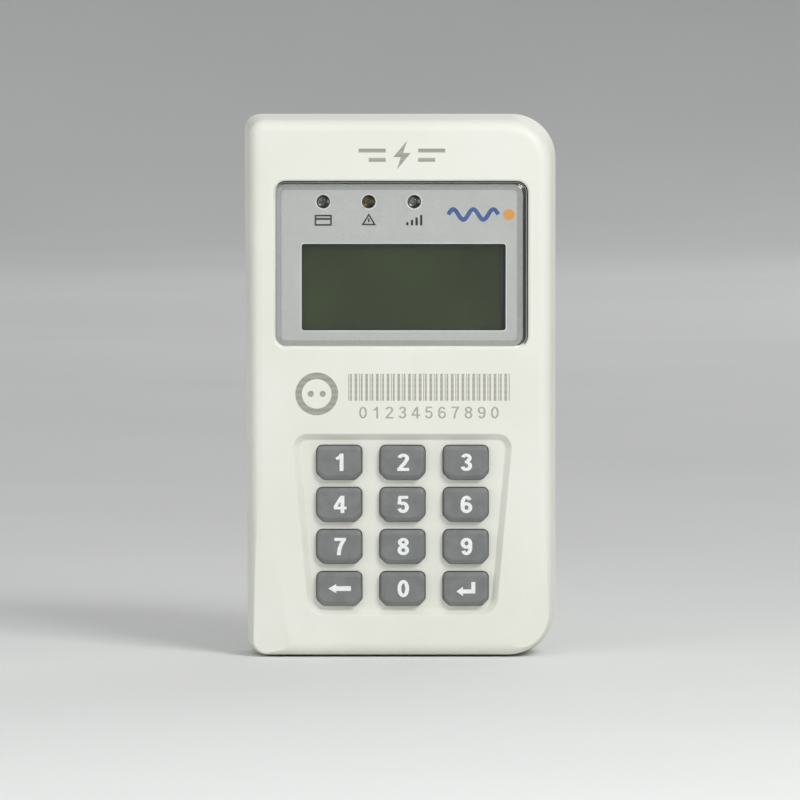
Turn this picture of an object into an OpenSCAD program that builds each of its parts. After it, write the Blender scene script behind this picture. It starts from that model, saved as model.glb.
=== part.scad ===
// Keypad and display unit of a prepaid electricity meter.
//
// Frame: +X to the right, +Z up, the front faces -Y. The origin is on the flat base, at the
// centre of the unit's width and of its full thickness. A depth is measured from the front
// plane of the case towards +Y. Outlines are drawn in X and Z and extruded between two depths.

/* [Case] */
// Width of the case at the parting line
case_w = 81; // [81:0.5:84]
// Height of the case
case_h = 141; // [141:0.5:146]
// Depth of the case, front plane to back plane
case_d = 28; // [28:0.5:32]
// Depth at which the front and rear covers meet
parting = 12; // [12:0.5:13]
// Wall thickness of both covers
wall = 2.2; // [2:0.1:2.4]
// Radius of the two left corners
left_r = 4.2; // [3.8:0.1:5]
// Radius of the two right corners
right_r = 11.5; // [10.5:0.1:12]
// Radius that rolls the front face into the sides
front_roll = 3.5; // [3:0.1:3.8]
// Radius that rolls the back face into the sides
back_roll = 2; // [1.5:0.1:2.5]
// How far the front cover's sides lean in between the parting line and the front
draft = 1.2; // [0.8:0.1:1.4]
// How far the left side leans in from top to base
left_slant = 0.8; // [0:0.1:1.2]
// Step at the base between the front cover and the rear cover
base_step = 0.5; // [0.3:0.1:0.6]

/* [Grips] */
// Depth of each finger scoop near the base
scoop_depth = 1.6; // [1:0.1:1.6]
// Height at which a scoop runs out
scoop_top = 52; // [45:1:56]
// Radius of the scoop's section
scoop_r = 34.5; // [30:0.5:38]

/* [Window] */
// Width of the clear plate
plate_w = 65.2; // [64:0.1:65.4]
// Height of the clear plate
plate_h = 42.6; // [42:0.1:42.8]
// Thickness of the clear plate
plate_t = 1.3; // [1:0.1:1.4]
// Corner radius of the plate's pocket
plate_r = 3; // [2.5:0.1:3.5]
// Distance from the plate's right edge to the print
print_side = 1.2; // [0.4:0.1:1.5]
// Distance from the plate's top edge to the print
print_top = 0.7; // [0.4:0.1:1.5]
// Width of the display opening
lcd_w = 53; // [50:0.5:53]
// Height of the display opening
lcd_h = 22.5; // [20:0.5:22.5]
// Distance between two indicator lamps
led_pitch = 11.8; // [11:0.1:12]
// Radius of an indicator lamp hole
led_hole_r = 1.8; // [1.7:0.05:1.9]

/* [Keypad] */
// Width of a key
key_w = 11.6; // [11:0.1:11.6]
// Height of a key
key_h = 8.7; // [8:0.1:8.8]
// Distance between key columns
pitch_x = 16.4; // [16.4:0.1:16.8]
// Distance between key rows
pitch_z = 10.95; // [10.95:0.05:11.1]
// Size of the cut across a key's two lower corners
key_cut = 1.7; // [1:0.1:2]
// How far a key stands in front of the case
key_proud = 0.6; // [0.4:0.1:0.8]
// How far the finger mark stands on the middle key
nub_proud = 0.2; // [0.1:0.05:0.3]
// How far a key moves when it is pressed
key_travel = 1; // [0.8:0.1:1]
// Gap between a key and the edge of its hole
key_gap = 0.3; // [0.3:0.05:0.35]
// Depth of the keypad hollow
hollow_depth = 1.6; // [1.4:0.1:1.8]

/* [Battery bay] */
// Diameter of a cell
cell_d = 14.5; // [14:0.1:14.5]
// Length of a cell's can, without its contact nub
cell_len = 49.5; // [49:0.5:49.5]
// Distance between two cells
cell_pitch = 15; // [14.9:0.1:15.1]
// Width of the battery door
door_w = 52; // [51:0.5:52]
// Height of the battery door above its hinge axis
door_h = 64.6; // [64:0.2:64.6]
// Thickness of the battery door
door_t = 1.7; // [1.5:0.1:1.7]

/* [Wall fixing] */
// Distance between the two keyholes
keyhole_pitch = 50; // [48:1:50]
// Radius of a keyhole's round entry
keyhole_r = 4.25; // [4:0.05:4.5]
// Radius of a keyhole's slot
keyhole_slot_r = 2.25; // [2:0.05:2.4]
// Length of a keyhole's slot above the centre of its entry
keyhole_rise = 8; // [7:0.5:9]

/* [Screws] */
// Radius of a case screw's shank
screw_r = 1.4; // [1.3:0.05:1.45]
// Radius of a case screw's head
screw_head_r = 2.75; // [2.5:0.05:2.8]
// Radius of a board screw's shank
board_screw_r = 1; // [0.9:0.05:1]

/* [Hidden] */
// Room left for a boolean cut to run past a face
past = 1;
// Thin slice that stands for one outline in a hull
sliver = 0.02;
// Number of straight steps in a quarter turn of an outline
steps = 6;
// Radius of a key's two upper corners
key_r = 1.4;
// Clearance between a part and the pocket that it sits in
fit_gap = 0.3;

// The front plane's place, with the full thickness, keys included, centred on the origin
front_y = key_proud + nub_proud - (case_d + key_proud + nub_proud) / 2;

// Depths of the layers behind the front plane
plate_d = 0.7;
print_d = plate_d + plate_t;
print_t = 0.15;
glue_d = print_d + print_t;
glue_t = 0.15;
window_floor_d = glue_d + glue_t;
window_floor_t = 1.6;
window_back_d = window_floor_d + window_floor_t;
hollow_back_d = hollow_depth + 2;
mat_t = 1.2;
board_d = 7.2;
pill_t = 0.4;
plunger_d = board_d - key_travel - pill_t - 0.2;
board_t = 1.6;
board_back_d = board_d + board_t;
bay_floor_d = 9.6;
bay_floor_t = 1.4;
bay_d = bay_floor_d + bay_floor_t;
back_wall_d = case_d - 2;
ledge_d = back_wall_d - 1.5;

// Window: the pocket, the printed area and the display opening
window_x = 0.3;
window_z = 102.2;
opening_x = 0.95;
opening_z = 96.25;
opening_r = 0.7;
sleeve_w = lcd_w + 1.6;
sleeve_h = lcd_h + 1.6;
led_x = -8.1;
led_z = 118.4;
led_r = 1.5;
led_flange_r = 1.9;
glass_w = 60;
glass_z0 = 82;
glass_z1 = 111.5;
glass_t = 0.9;
glass_step = 2.5;
lcd_d = window_back_d + 0.3;

// Keypad: the centres of the middle column and the top row, and the outlines of its layers
keys_x = 0.65;
keys_z = 50.75;
hollow_top_z = 58.2;
hollow_base_z = 10.9;
hollow_top_half = 28.7;
hollow_base_half = 24.4;
hollow_slope = 1.6;
hollow_r = 4.3;
mat_x0 = -29.6;
mat_x1 = 30.9;
mat_z0 = 12.3;
mat_z1 = 60;
ear_w = 14.4;
ear_h = 6;
ear_d = 3.9;
ear_t = 0.8;
KEY_NAMES = ["1", "2", "3", "4", "5", "6", "7", "8", "9", "back", "0", "enter"];

// Board: its outline, its fixing posts, and the case screws' bosses
board_half = 36.6;
board_z0 = 12;
board_z1 = 127;
POSTS = [for (x = [-34.3, 34.3]) for (z = [20, 119]) [x, z]];
post_r = 2.2;
post_hole_r = board_screw_r + 0.1;
BOSSES = [for (x = [-31, 31]) for (z = [8.5, 131.5]) [x, z]];
boss_front_r = 3.2;
boss_back_r = 4.6;
counterbore_r = screw_head_r + 0.35;
counterbore_floor_d = 18.2;
screw_tip_d = 5.5;

// Battery bay: its inside, and the hinge of its door
bay_half = 22.8;
bay_z0 = 17.5;
bay_z1 = 77;
bay_wall = 1.6;
cell_z0 = 22.3;
cell_y_d = bay_d + 0.2 + cell_d / 2;
nub_r = 2.7;
nub_len = 1;
hinge_z = 15;
hinge_d = back_wall_d + 0.6;
barrel_r = 1.4;
pin_r = 0.75;
pin_len = 1.6;
pin_hole_r = pin_r + 0.08;
keyhole_z = 110;

PILLS = [for (k = KEY_NAMES) str("contact_pill_", k)];
KEYS = [for (k = KEY_NAMES) str("key_", k)];
LEDS = ["lamp_left", "lamp_middle", "lamp_right"];
CELLS = ["battery_left", "battery_middle", "battery_right"];

// ---- Outlines and layers -------------------------------------------------------------------

// Points of an arc about a centre, from one angle to another.
function arc(cx, cz, r, from, to) =
    [for (i = [0:steps]) let (a = from + (to - from) * i / steps) [cx + r * cos(a), cz + r * sin(a)]];

// Rectangle with round corners between two opposite corners.
function rounded(x0, z0, x1, z1, r) = concat(
    arc(x1 - r, z0 + r, r, -90, 0),
    arc(x1 - r, z1 - r, r, 0, 90),
    arc(x0 + r, z1 - r, r, 90, 180),
    arc(x0 + r, z0 + r, r, 180, 270));

// Rectangle with round corners about a centre.
function rounded_about(cx, cz, w, h, r) =
    rounded(cx - w / 2, cz - h / 2, cx + w / 2, cz + h / 2, r);

// The case's outline, moved in from the sides and the top, and up from the base.
function case_outline(side_in, base_in) =
    let (rl = max(left_r - side_in, 0.6), rr = max(right_r - side_in, 0.6),
         x0 = side_in - case_w / 2, x1 = case_w / 2 - side_in, z1 = case_h - side_in)
    concat(
        arc(x1 - rr, base_in + rr, rr, -90, 0),
        arc(x1 - rr, z1 - rr, rr, 0, 90),
        arc(x0 + rl, z1 - rl, rl, 90, 180),
        arc(x0 + left_slant + rl, base_in + rl, rl, 180, 270));

// The keypad hollow's outline, moved in from its edge: narrower at the base than at the top.
function hollow_outline(in) =
    let (zt = hollow_top_z - in, zb = hollow_base_z + in, r = hollow_r - in / 2,
         lean = (hollow_top_half - hollow_base_half) / (hollow_top_z - hollow_base_z) * r,
         top = hollow_top_half - in, base = hollow_base_half - in)
    concat(
        arc(keys_x + base - r + lean, zb + r, r, -90, 0),
        arc(keys_x + top - r - lean, zt - r, r, 0, 90),
        arc(keys_x - top + r + lean, zt - r, r, 90, 180),
        arc(keys_x - base + r - lean, zb + r, r, 180, 270));

// A key's outline about its centre: round corners above, cut corners below.
function key_outline(p, w, h, grow = 0) =
    let (x0 = p.x - w / 2 - grow, x1 = p.x + w / 2 + grow,
         z0 = p.y - h / 2 - grow, z1 = p.y + h / 2 + grow, r = key_r + grow, c = key_cut + grow / 2)
    concat(
        [[x1 - c, z0], [x1, z0 + c]],
        arc(x1 - r, z1 - r, r, 0, 90),
        arc(x0 + r, z1 - r, r, 90, 180),
        [[x0, z0 + c], [x0 + c, z0]]);

// Extrudes an outline drawn in X and Z between two depths.
module layer(d0, d1) {
    translate([0, front_y + d1, 0])
        rotate([90, 0, 0])
            linear_extrude(d1 - d0)
                children();
}

// A round bar along Y between two depths.
module bar(x, z, r, d0, d1) {
    translate([x, front_y + d1, z])
        rotate([90, 0, 0])
            cylinder(h = d1 - d0, r = r, $fn = 48);
}

// The place of each key on the pad, counted along the rows from the top left.
function key_at(i) = [keys_x + (i % 3 - 1) * pitch_x, keys_z - floor(i / 3) * pitch_z];

// ---- Covers --------------------------------------------------------------------------------

// The front cover's full outer form, with its rolled edge and leaning sides.
module front_form() {
    hull() {
        for (a = [0:15:75])
            let (d = front_roll * (1 - cos(a)), roll_in = front_roll * (1 - sin(a)))
                layer(d, d + sliver)
                    polygon(case_outline(roll_in + draft * (1 - d / parting), roll_in + base_step));
        layer(parting - sliver, parting)
            polygon(case_outline(0, base_step));
    }
}

// The space inside the front cover.
module front_space() {
    hull() {
        layer(wall, wall + sliver)
            polygon(case_outline(wall + draft + front_roll / 2, wall + base_step + 1));
        layer(front_roll, front_roll + sliver)
            polygon(case_outline(wall + draft, wall + base_step));
        layer(parting, parting + past)
            polygon(case_outline(wall, wall + base_step));
    }
}

// A long round cutter that leans, so that its cut is deepest at the base.
module scoop(side) {
    lean = atan(scoop_depth / (scoop_top - 5));
    translate([side * 39.2 + (side > 0 ? 0.8 : 0), front_y + scoop_depth - scoop_r, 5])
        rotate([lean, 0, 0])
            cylinder(h = 4 * scoop_top, r = scoop_r, center = true, $fn = 128);
}

// The keypad hollow, with sloping walls.
module hollow() {
    hull() {
        layer(-sliver, 0)
            polygon(hollow_outline(0));
        layer(hollow_depth - sliver, hollow_depth)
            polygon(hollow_outline(hollow_slope));
    }
}

module front_cover() {
    color("#ECEDE4") difference() {
        union() {
            difference() {
                front_form();
                front_space();
            }
            layer(1.5, window_back_d)
                polygon(rounded_about(window_x, window_z, plate_w + 4.6, plate_h + 4.6, plate_r + 1.5));
            layer(1.5, hollow_back_d)
                polygon(rounded(mat_x0 - 1, hollow_base_z - 2, mat_x1 + 1, mat_z1 + 1, hollow_r));
            for (p = POSTS)
                bar(p.x, p.y, post_r, 1.5, board_d);
            for (p = BOSSES)
                bar(p.x, p.y, boss_front_r, 1.5, parting);
        }
        layer(-past, window_floor_d)
            polygon(rounded_about(window_x, window_z, plate_w + 0.6, plate_h + 0.6, plate_r));
        layer(window_floor_d - past, window_back_d + past)
            polygon(rounded_about(opening_x, opening_z, sleeve_w, sleeve_h, opening_r + 0.5));
        for (i = [-1:1])
            bar(led_x + i * led_pitch, led_z, led_hole_r, window_floor_d - past, window_back_d + past);
        hollow();
        for (i = [0:11])
            let (p = key_at(i))
                layer(0, hollow_back_d + past)
                    polygon(key_outline(p, key_w, key_h, key_gap));
        for (p = POSTS)
            bar(p.x, p.y, post_hole_r, 2.8, board_d + past);
        for (p = BOSSES)
            bar(p.x, p.y, screw_r + 0.1, 4.5, parting + past);
        for (side = [-1, 1])
            scoop(side);
    }
}

// The rear cover's full outer form.
module rear_form() {
    hull() {
        layer(parting, parting + sliver)
            polygon(case_outline(0, 0));
        for (a = [0:18:90])
            let (d = case_d - back_roll * (1 - cos(a)), roll_in = back_roll * (1 - sin(a)))
                layer(d - sliver, d)
                    polygon(case_outline(roll_in + 0.6, roll_in));
    }
}

// A keyhole: a round entry for a screw's head, and a slot above it for the shank.
module keyhole(x) {
    bar(x, keyhole_z, keyhole_r, back_wall_d - past, case_d + past);
    bar(x, keyhole_z + keyhole_rise, keyhole_slot_r, back_wall_d - past, case_d + past);
    layer(back_wall_d - past, case_d + past)
        translate([x - keyhole_slot_r, keyhole_z])
            square([2 * keyhole_slot_r, keyhole_rise]);
}

module rear_cover() {
    color("#E4E5DC") difference() {
        union() {
            difference() {
                rear_form();
                layer(parting - past, back_wall_d)
                    polygon(case_outline(wall + 0.6, wall));
            }
            // Lip that enters the front cover
            layer(parting - 1.5, parting + past)
                difference() {
                    polygon(case_outline(wall + 0.4, wall + base_step + 0.4));
                    polygon(case_outline(wall + 1.4, wall + base_step + 1.4));
                }
            layer(bay_floor_d, back_wall_d + sliver)
                polygon(rounded(-bay_half - bay_wall, bay_z0 - bay_wall, bay_half + bay_wall,
                                bay_z1 + bay_wall, 1.5));
            // Frame that the battery door closes on
            layer(ledge_d, back_wall_d + sliver)
                polygon(rounded(-door_w / 2 - 2.5, hinge_z - 4, door_w / 2 + 2.5,
                                hinge_z + door_h + 2.6, 2));
            for (p = BOSSES)
                bar(p.x, p.y, boss_back_r, parting, back_wall_d + sliver);
        }
        layer(bay_d, case_d + past)
            polygon(rounded(-bay_half, bay_z0, bay_half, bay_z1, 0.8));
        layer(back_wall_d + 0.1, case_d + past)
            polygon(rounded(-door_w / 2 - fit_gap, hinge_z - barrel_r - fit_gap,
                            door_w / 2 + fit_gap, hinge_z + door_h + fit_gap, 1.2));
        // Groove for the door's hinge barrel, and the holes of its two pins
        translate([-door_w / 2 - fit_gap, front_y + hinge_d, hinge_z])
            rotate([0, 90, 0])
                cylinder(h = door_w + 2 * fit_gap, r = barrel_r + fit_gap, $fn = 48);
        translate([-door_w / 2 - pin_len - 0.2, front_y + hinge_d, hinge_z])
            rotate([0, 90, 0])
                cylinder(h = door_w + 2 * pin_len + 0.4, r = pin_hole_r, $fn = 48);
        // Finger notch above the door
        layer(case_d - 1.2, case_d + past)
            polygon(rounded_about(0, hinge_z + door_h, 16, 5, 2));
        // Slots for the contact tails
        for (x = [-cell_pitch, cell_pitch])
            let (z = x < 0 ? bay_z1 - 0.9 : bay_z0 + 0.9)
                layer(bay_floor_d - past, bay_d + past)
                    translate([x - 1.8, z - 0.6])
                        square([3.6, 1.2]);
        for (p = BOSSES) {
            bar(p.x, p.y, screw_r + 0.3, parting - past, counterbore_floor_d + past);
            bar(p.x, p.y, counterbore_r, counterbore_floor_d, case_d + past);
        }
        for (side = [-1, 1])
            keyhole(side * keyhole_pitch / 2);
    }
}

module battery_door() {
    color("#E4E5DC") difference() {
        union() {
            layer(case_d - door_t, case_d)
                polygon(rounded(-door_w / 2, hinge_z, door_w / 2, hinge_z + door_h, 1));
            translate([-door_w / 2, front_y + hinge_d, hinge_z])
                rotate([0, 90, 0])
                    cylinder(h = door_w, r = barrel_r, $fn = 48);
            translate([-door_w / 2 - pin_len, front_y + hinge_d, hinge_z])
                rotate([0, 90, 0])
                    cylinder(h = door_w + 2 * pin_len, r = pin_r, $fn = 48);
        }
        // Ribbed thumb area near the free edge
        for (i = [0:4])
            layer(case_d - 0.5, case_d + past)
                polygon(rounded_about(0, hinge_z + door_h - 7 - 2.2 * i, 18, 0.9, 0.4));
    }
}

// ---- Window and display --------------------------------------------------------------------

// The openings for the display and the lamps, each grown by the same amount.
module window_openings(grow) {
    polygon(rounded_about(opening_x, opening_z, lcd_w + 2 * grow, lcd_h + 2 * grow, opening_r));
    for (i = [-1:1])
        translate([led_x + i * led_pitch, led_z])
            circle(r = led_hole_r + grow, $fn = 48);
}

module window_plate() {
    color("#BFC4C4") layer(plate_d, print_d)
        polygon(rounded_about(window_x, window_z, plate_w, plate_h, plate_r - 0.3));
}

module window_print() {
    color("#BBBCB8") layer(print_d, glue_d)
        difference() {
            polygon(rounded(window_x - plate_w / 2 + 0.2, window_z - plate_h / 2 + 0.2,
                            window_x + plate_w / 2 - print_side, window_z + plate_h / 2 - print_top,
                            plate_r - 0.5));
            window_openings(0);
        }
}

module window_glue() {
    color("#3A3A38") layer(glue_d, window_floor_d)
        difference() {
            polygon(rounded_about(window_x, window_z, plate_w - 0.8, plate_h - 0.8, plate_r - 0.7));
            window_openings(0.6);
        }
}

// A foam sleeve that lines the display opening, with a brim that the glass presses on.
module display_gasket() {
    color("#111210") union() {
        layer(window_floor_d, lcd_d)
            difference() {
                polygon(rounded_about(opening_x, opening_z, sleeve_w, sleeve_h, opening_r + 0.5));
                polygon(rounded_about(opening_x, opening_z, lcd_w, lcd_h, opening_r));
            }
        layer(window_back_d, lcd_d)
            difference() {
                polygon(rounded_about(opening_x, opening_z, lcd_w + 4, lcd_h + 4, opening_r));
                polygon(rounded_about(opening_x, opening_z, sleeve_w, sleeve_h, opening_r + 0.5));
            }
    }
}

module display_glass() {
    x0 = opening_x - glass_w / 2;
    color("#4A553C") union() {
        layer(lcd_d, lcd_d + glass_t)
            translate([x0, glass_z0])
                square([glass_w, glass_z1 - glass_z0]);
        layer(lcd_d + glass_t, lcd_d + 2 * glass_t)
            translate([x0, glass_z0 + glass_step])
                square([glass_w, glass_z1 - glass_z0 - 2 * glass_step]);
    }
}

module display_diffuser() {
    color("#D8DCC8") layer(lcd_d + 2 * glass_t + 0.1, board_d)
        translate([opening_x - glass_w / 2 + 1, glass_z0 + glass_step + 0.5])
            square([glass_w - 2, glass_z1 - glass_z0 - 2 * glass_step - 1]);
}

module display_frame() {
    color("#2B2C2B") layer(lcd_d, board_d)
        difference() {
            polygon(rounded(opening_x - glass_w / 2 - 1.4, glass_z0 - 1.4,
                            opening_x + glass_w / 2 + 1.4, glass_z1 + 1.4, 1));
            translate([opening_x - glass_w / 2 - 0.2, glass_z0 - 0.2])
                square([glass_w + 0.4, glass_z1 - glass_z0 + 0.4]);
        }
}

// A rubber strip that carries the display's signals from the glass back to the board.
module contact_strip(z) {
    color("#2E3A44") layer(lcd_d + glass_t, board_d)
        translate([opening_x - glass_w / 2 + 2, z])
            square([glass_w - 4, 2]);
}

module contact_strip_upper() {
    contact_strip(glass_z1 - 2.2);
}

module contact_strip_lower() {
    contact_strip(glass_z0 + 0.2);
}

// A round-nosed indicator lamp with its flange against the board.
module lamp(i, tint) {
    x = led_x + (i - 1) * led_pitch;
    nose_d = window_floor_d + 0.5 + led_r;
    color(tint) union() {
        translate([x, front_y + nose_d, led_z])
            sphere(r = led_r, $fn = 48);
        bar(x, led_z, led_r, nose_d, board_d);
        bar(x, led_z, led_flange_r, board_d - 1, board_d);
    }
}

// ---- Keypad --------------------------------------------------------------------------------

// A key: a bevelled cap, two ears that keep it behind the cover, and a plunger. The middle key
// has a finger mark.
module key(i) {
    p = key_at(i);
    color("#6C6E6E") union() {
        hull() {
            layer(-key_proud, -key_proud + sliver)
                polygon(key_outline([p.x, p.y + 0.15], key_w - 1.6, key_h - 2));
            layer(-key_proud + 0.6, ear_d + ear_t)
                polygon(key_outline(p, key_w, key_h));
        }
        if (i == 4)
            bar(p.x + 3.6, p.y + 0.8, 0.55, -key_proud - nub_proud, 0);
        layer(ear_d, ear_d + ear_t)
            polygon(rounded_about(p.x, p.y, ear_w, ear_h, 0.6));
        layer(ear_d, plunger_d)
            polygon(rounded_about(p.x, p.y, 8, 5, 0.8));
    }
}

module contact_pill(i) {
    p = key_at(i);
    color("#202020") bar(p.x, p.y, 2, plunger_d, plunger_d + pill_t);
}

// The rubber sheet behind the keys: a web with a window for each key, on a rim.
module keypad_mat() {
    color("#5A5C5C") union() {
        layer(hollow_back_d, hollow_back_d + mat_t)
            difference() {
                polygon(rounded(mat_x0, mat_z0, mat_x1, mat_z1, 2));
                for (i = [0:11])
                    let (p = key_at(i))
                        polygon(rounded_about(p.x, p.y, ear_w + 2 * fit_gap, key_h + 2 * fit_gap, 0.8));
            }
        layer(hollow_back_d + mat_t, board_d)
            difference() {
                polygon(rounded(mat_x0, mat_z0, mat_x1, mat_z1, 2));
                polygon(rounded(mat_x0 + 0.8, mat_z0 + 0.8, mat_x1 - 0.8, mat_z1 - 0.8, 1.2));
            }
    }
}

// ---- Electronics ---------------------------------------------------------------------------

module main_board() {
    color("#2F6B45") difference() {
        layer(board_d, board_back_d)
            polygon(rounded(-board_half, board_z0, board_half, board_z1, 2));
        for (p = POSTS)
            bar(p.x, p.y, board_screw_r + 0.3, board_d - past, board_back_d + past);
    }
}

module controller_chip() {
    cx = -14;
    cz = 94;
    body = 10;
    color("#1D1E1F") union() {
        layer(board_back_d + 0.2, board_back_d + 1.6)
            translate([cx - body / 2, cz - body / 2])
                square(body);
        layer(board_back_d, board_back_d + 0.5)
            for (i = [-5:5]) {
                translate([cx - body / 2 - 1, cz + 0.8 * i - 0.2])
                    square([body + 2, 0.4]);
                translate([cx + 0.8 * i - 0.2, cz - body / 2 - 1])
                    square([0.4, body + 2]);
            }
    }
}

module clock_crystal() {
    color("#C9CBCC") translate([-2, front_y + board_back_d + 1.55, 88])
        cylinder(h = 8, r = 1.5, $fn = 48);
}

module storage_capacitor() {
    color("#20262E") bar(20, 92, 4, board_back_d, board_back_d + 11);
}

module radio_module() {
    color("#B9BCBC") layer(board_back_d, board_back_d + 3)
        polygon(rounded(6, 104, 28, 120, 0.8));
}

// A wire that rises from the board and runs along its upper edge.
module antenna_wire() {
    z = 123.5;
    d = board_back_d + 5;
    color("#B87A4A") union() {
        bar(16, z, 0.5, board_back_d, d);
        translate([16, front_y + d, z])
            sphere(r = 0.5, $fn = 32);
        translate([-24, front_y + d, z])
            rotate([0, 90, 0])
                cylinder(h = 40, r = 0.5, $fn = 32);
    }
}

module buzzer() {
    color("#161616") difference() {
        bar(-28, 92, 6, board_back_d, board_back_d + 7);
        bar(-28, 92, 1, board_back_d + 4, board_back_d + 8);
    }
}

// ---- Batteries and contacts ----------------------------------------------------------------

// A cell along Z. Its nub points up, or down where it is turned over.
module cell(i, turned) {
    x = (i - 1) * cell_pitch;
    z = turned ? cell_z0 + nub_len : cell_z0;
    color("#3E5C7A") translate([x, front_y + cell_y_d, z]) union() {
        cylinder(h = cell_len, r = cell_d / 2, $fn = 64);
        translate([0, 0, turned ? -nub_len : cell_len])
            cylinder(h = nub_len, r = nub_r, $fn = 48);
    }
}

// A sprung contact as a closed cone: its coil is narrower where it meets the cell.
module spring_cone(x, z, up) {
    len = up ? cell_z0 - z : z - cell_z0 - cell_len - nub_len;
    translate([x, front_y + cell_y_d, z])
        mirror([0, 0, up ? 0 : 1])
            difference() {
                cylinder(h = len, r1 = 4, r2 = 2.6, $fn = 48);
                translate([0, 0, -past])
                    cylinder(h = len + 2 * past, r = 1.6, $fn = 48);
            }
}

module battery_springs() {
    color("#C4C6C6") union() {
        spring_cone(-cell_pitch, bay_z0 + 1.2, true);
        spring_cone(cell_pitch, bay_z0 + 1.2, true);
        spring_cone(0, bay_z1 - 1.2, false);
    }
}

// A flat contact across the bay's end, between two X values.
module end_plate(x0, x1, z) {
    layer(bay_d + 1, bay_d + 12.5)
        translate([x0, z - 0.3])
            square([x1 - x0, 0.6]);
}

module battery_plates() {
    low = bay_z0 + 0.9;
    high = bay_z1 - 0.9;
    color("#CDCFCF") union() {
        end_plate(-cell_pitch - 5, 5, low);
        end_plate(cell_pitch - 5, cell_pitch + 5, low);
        end_plate(-cell_pitch - 5, -cell_pitch + 5, high);
        end_plate(-5, cell_pitch + 5, high);
        // Raised pads that the nubs touch, and the tails that pass to the board
        translate([0, front_y + cell_y_d, low])
            cylinder(h = cell_z0 - low, r = 3, $fn = 48);
        for (x = [-cell_pitch, cell_pitch])
            translate([x, front_y + cell_y_d, cell_z0 + cell_len + nub_len])
                cylinder(h = high - cell_z0 - cell_len - nub_len, r = 3, $fn = 48);
        layer(board_back_d, bay_d + 1)
            translate([-cell_pitch - 1.5, high - 0.3])
                square([3, 0.6]);
        layer(board_back_d, bay_d + 1)
            translate([cell_pitch - 1.5, low - 0.3])
                square([3, 0.6]);
    }
}

// ---- Fasteners -----------------------------------------------------------------------------

// A round-headed screw with a cross recess, its head towards the back.
module screw(x, z, r, head_r, head_t, head_d, tip_d) {
    difference() {
        union() {
            bar(x, z, r, tip_d, head_d);
            bar(x, z, head_r, head_d, head_d + head_t);
        }
        layer(head_d + head_t - 0.8, head_d + head_t + past) {
            translate([x - head_r * 0.55, z - head_r * 0.12])
                square([head_r * 1.1, head_r * 0.24]);
            translate([x - head_r * 0.12, z - head_r * 0.55])
                square([head_r * 0.24, head_r * 1.1]);
        }
    }
}

module case_screws() {
    color("#B9BBBB") for (p = BOSSES)
        screw(p.x, p.y, screw_r, screw_head_r, 2, counterbore_floor_d, screw_tip_d);
}

module board_screws() {
    color("#C2C4C4") for (p = POSTS)
        screw(p.x, p.y, board_screw_r, 1.9, 1.3, board_back_d, 3.6);
}

// ---- Nodes ---------------------------------------------------------------------------------

front_cover();
rear_cover();
battery_door();
window_plate();
window_print();
window_glue();
display_gasket();
display_glass();
display_frame();
display_diffuser();
contact_strip_upper();
contact_strip_lower();
keypad_mat();
main_board();
controller_chip();
clock_crystal();
storage_capacitor();
radio_module();
antenna_wire();
buzzer();
battery_springs();
battery_plates();
case_screws();
board_screws();
for (i = [0:11]) key(i);
for (i = [0:11]) contact_pill(i);
for (i = [0:2]) lamp(i, ["#D8D8D4", "#A59A4E", "#E2E2DE"][i]);
for (i = [0:2]) cell(i, i == 1);
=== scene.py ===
"""Looks of a prepaid electricity meter's keypad and display unit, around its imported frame.

All lengths in the classes are in millimetres and are turned to metres where a mesh is made. A
depth is measured from the front plane of the case towards +Y, as in the part's own design.
"""

import logging
import math
from collections.abc import Callable, Sequence
from dataclasses import dataclass
from enum import Enum

import bmesh
import bpy
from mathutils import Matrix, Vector


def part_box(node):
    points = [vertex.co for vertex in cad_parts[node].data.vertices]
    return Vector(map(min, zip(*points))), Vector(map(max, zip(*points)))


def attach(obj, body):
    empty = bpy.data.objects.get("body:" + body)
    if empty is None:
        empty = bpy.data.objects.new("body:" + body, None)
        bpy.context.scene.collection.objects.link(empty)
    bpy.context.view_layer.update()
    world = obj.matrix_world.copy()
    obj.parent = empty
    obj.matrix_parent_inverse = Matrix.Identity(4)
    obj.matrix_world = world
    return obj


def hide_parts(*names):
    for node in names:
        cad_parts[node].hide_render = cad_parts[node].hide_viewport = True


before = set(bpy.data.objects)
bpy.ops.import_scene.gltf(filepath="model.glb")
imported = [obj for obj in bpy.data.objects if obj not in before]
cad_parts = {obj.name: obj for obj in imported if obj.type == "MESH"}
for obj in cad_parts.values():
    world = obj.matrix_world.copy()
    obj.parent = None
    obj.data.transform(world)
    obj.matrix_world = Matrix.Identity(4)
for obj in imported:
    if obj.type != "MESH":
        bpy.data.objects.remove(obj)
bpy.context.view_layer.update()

MM = 0.001
CASE = "case"
FRONT_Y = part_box("front_cover")[0].y
KEY_NAMES = ("1", "2", "3", "4", "5", "6", "7", "8", "9", "back", "0", "enter")
log = logging.getLogger("meter")


# ---- Bench tools ---------------------------------------------------------------------------


def mm_box(node: str) -> tuple[Vector, Vector]:
    """Gives a CAD node's box in millimetres, with depths in place of Y.

    Args:
        node: The CAD node's name.

    Returns:
        The lowest and the highest corner, as (x, depth, z).
    """
    shift = Vector((0, FRONT_Y, 0))
    low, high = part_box(node)
    return (low - shift) / MM, (high - shift) / MM


def place(x: float, depth: float, z: float) -> Vector:
    """Turns a place in millimetres, with a depth, into the frame's metres."""
    return Vector((x * MM, FRONT_Y + depth * MM, z * MM))


def clear_selection() -> None:
    """Leaves edit mode and deselects every object."""
    if bpy.context.object and bpy.context.object.mode != "OBJECT":
        bpy.ops.object.mode_set(mode="OBJECT")
    bpy.ops.object.select_all(action="DESELECT")


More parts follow.
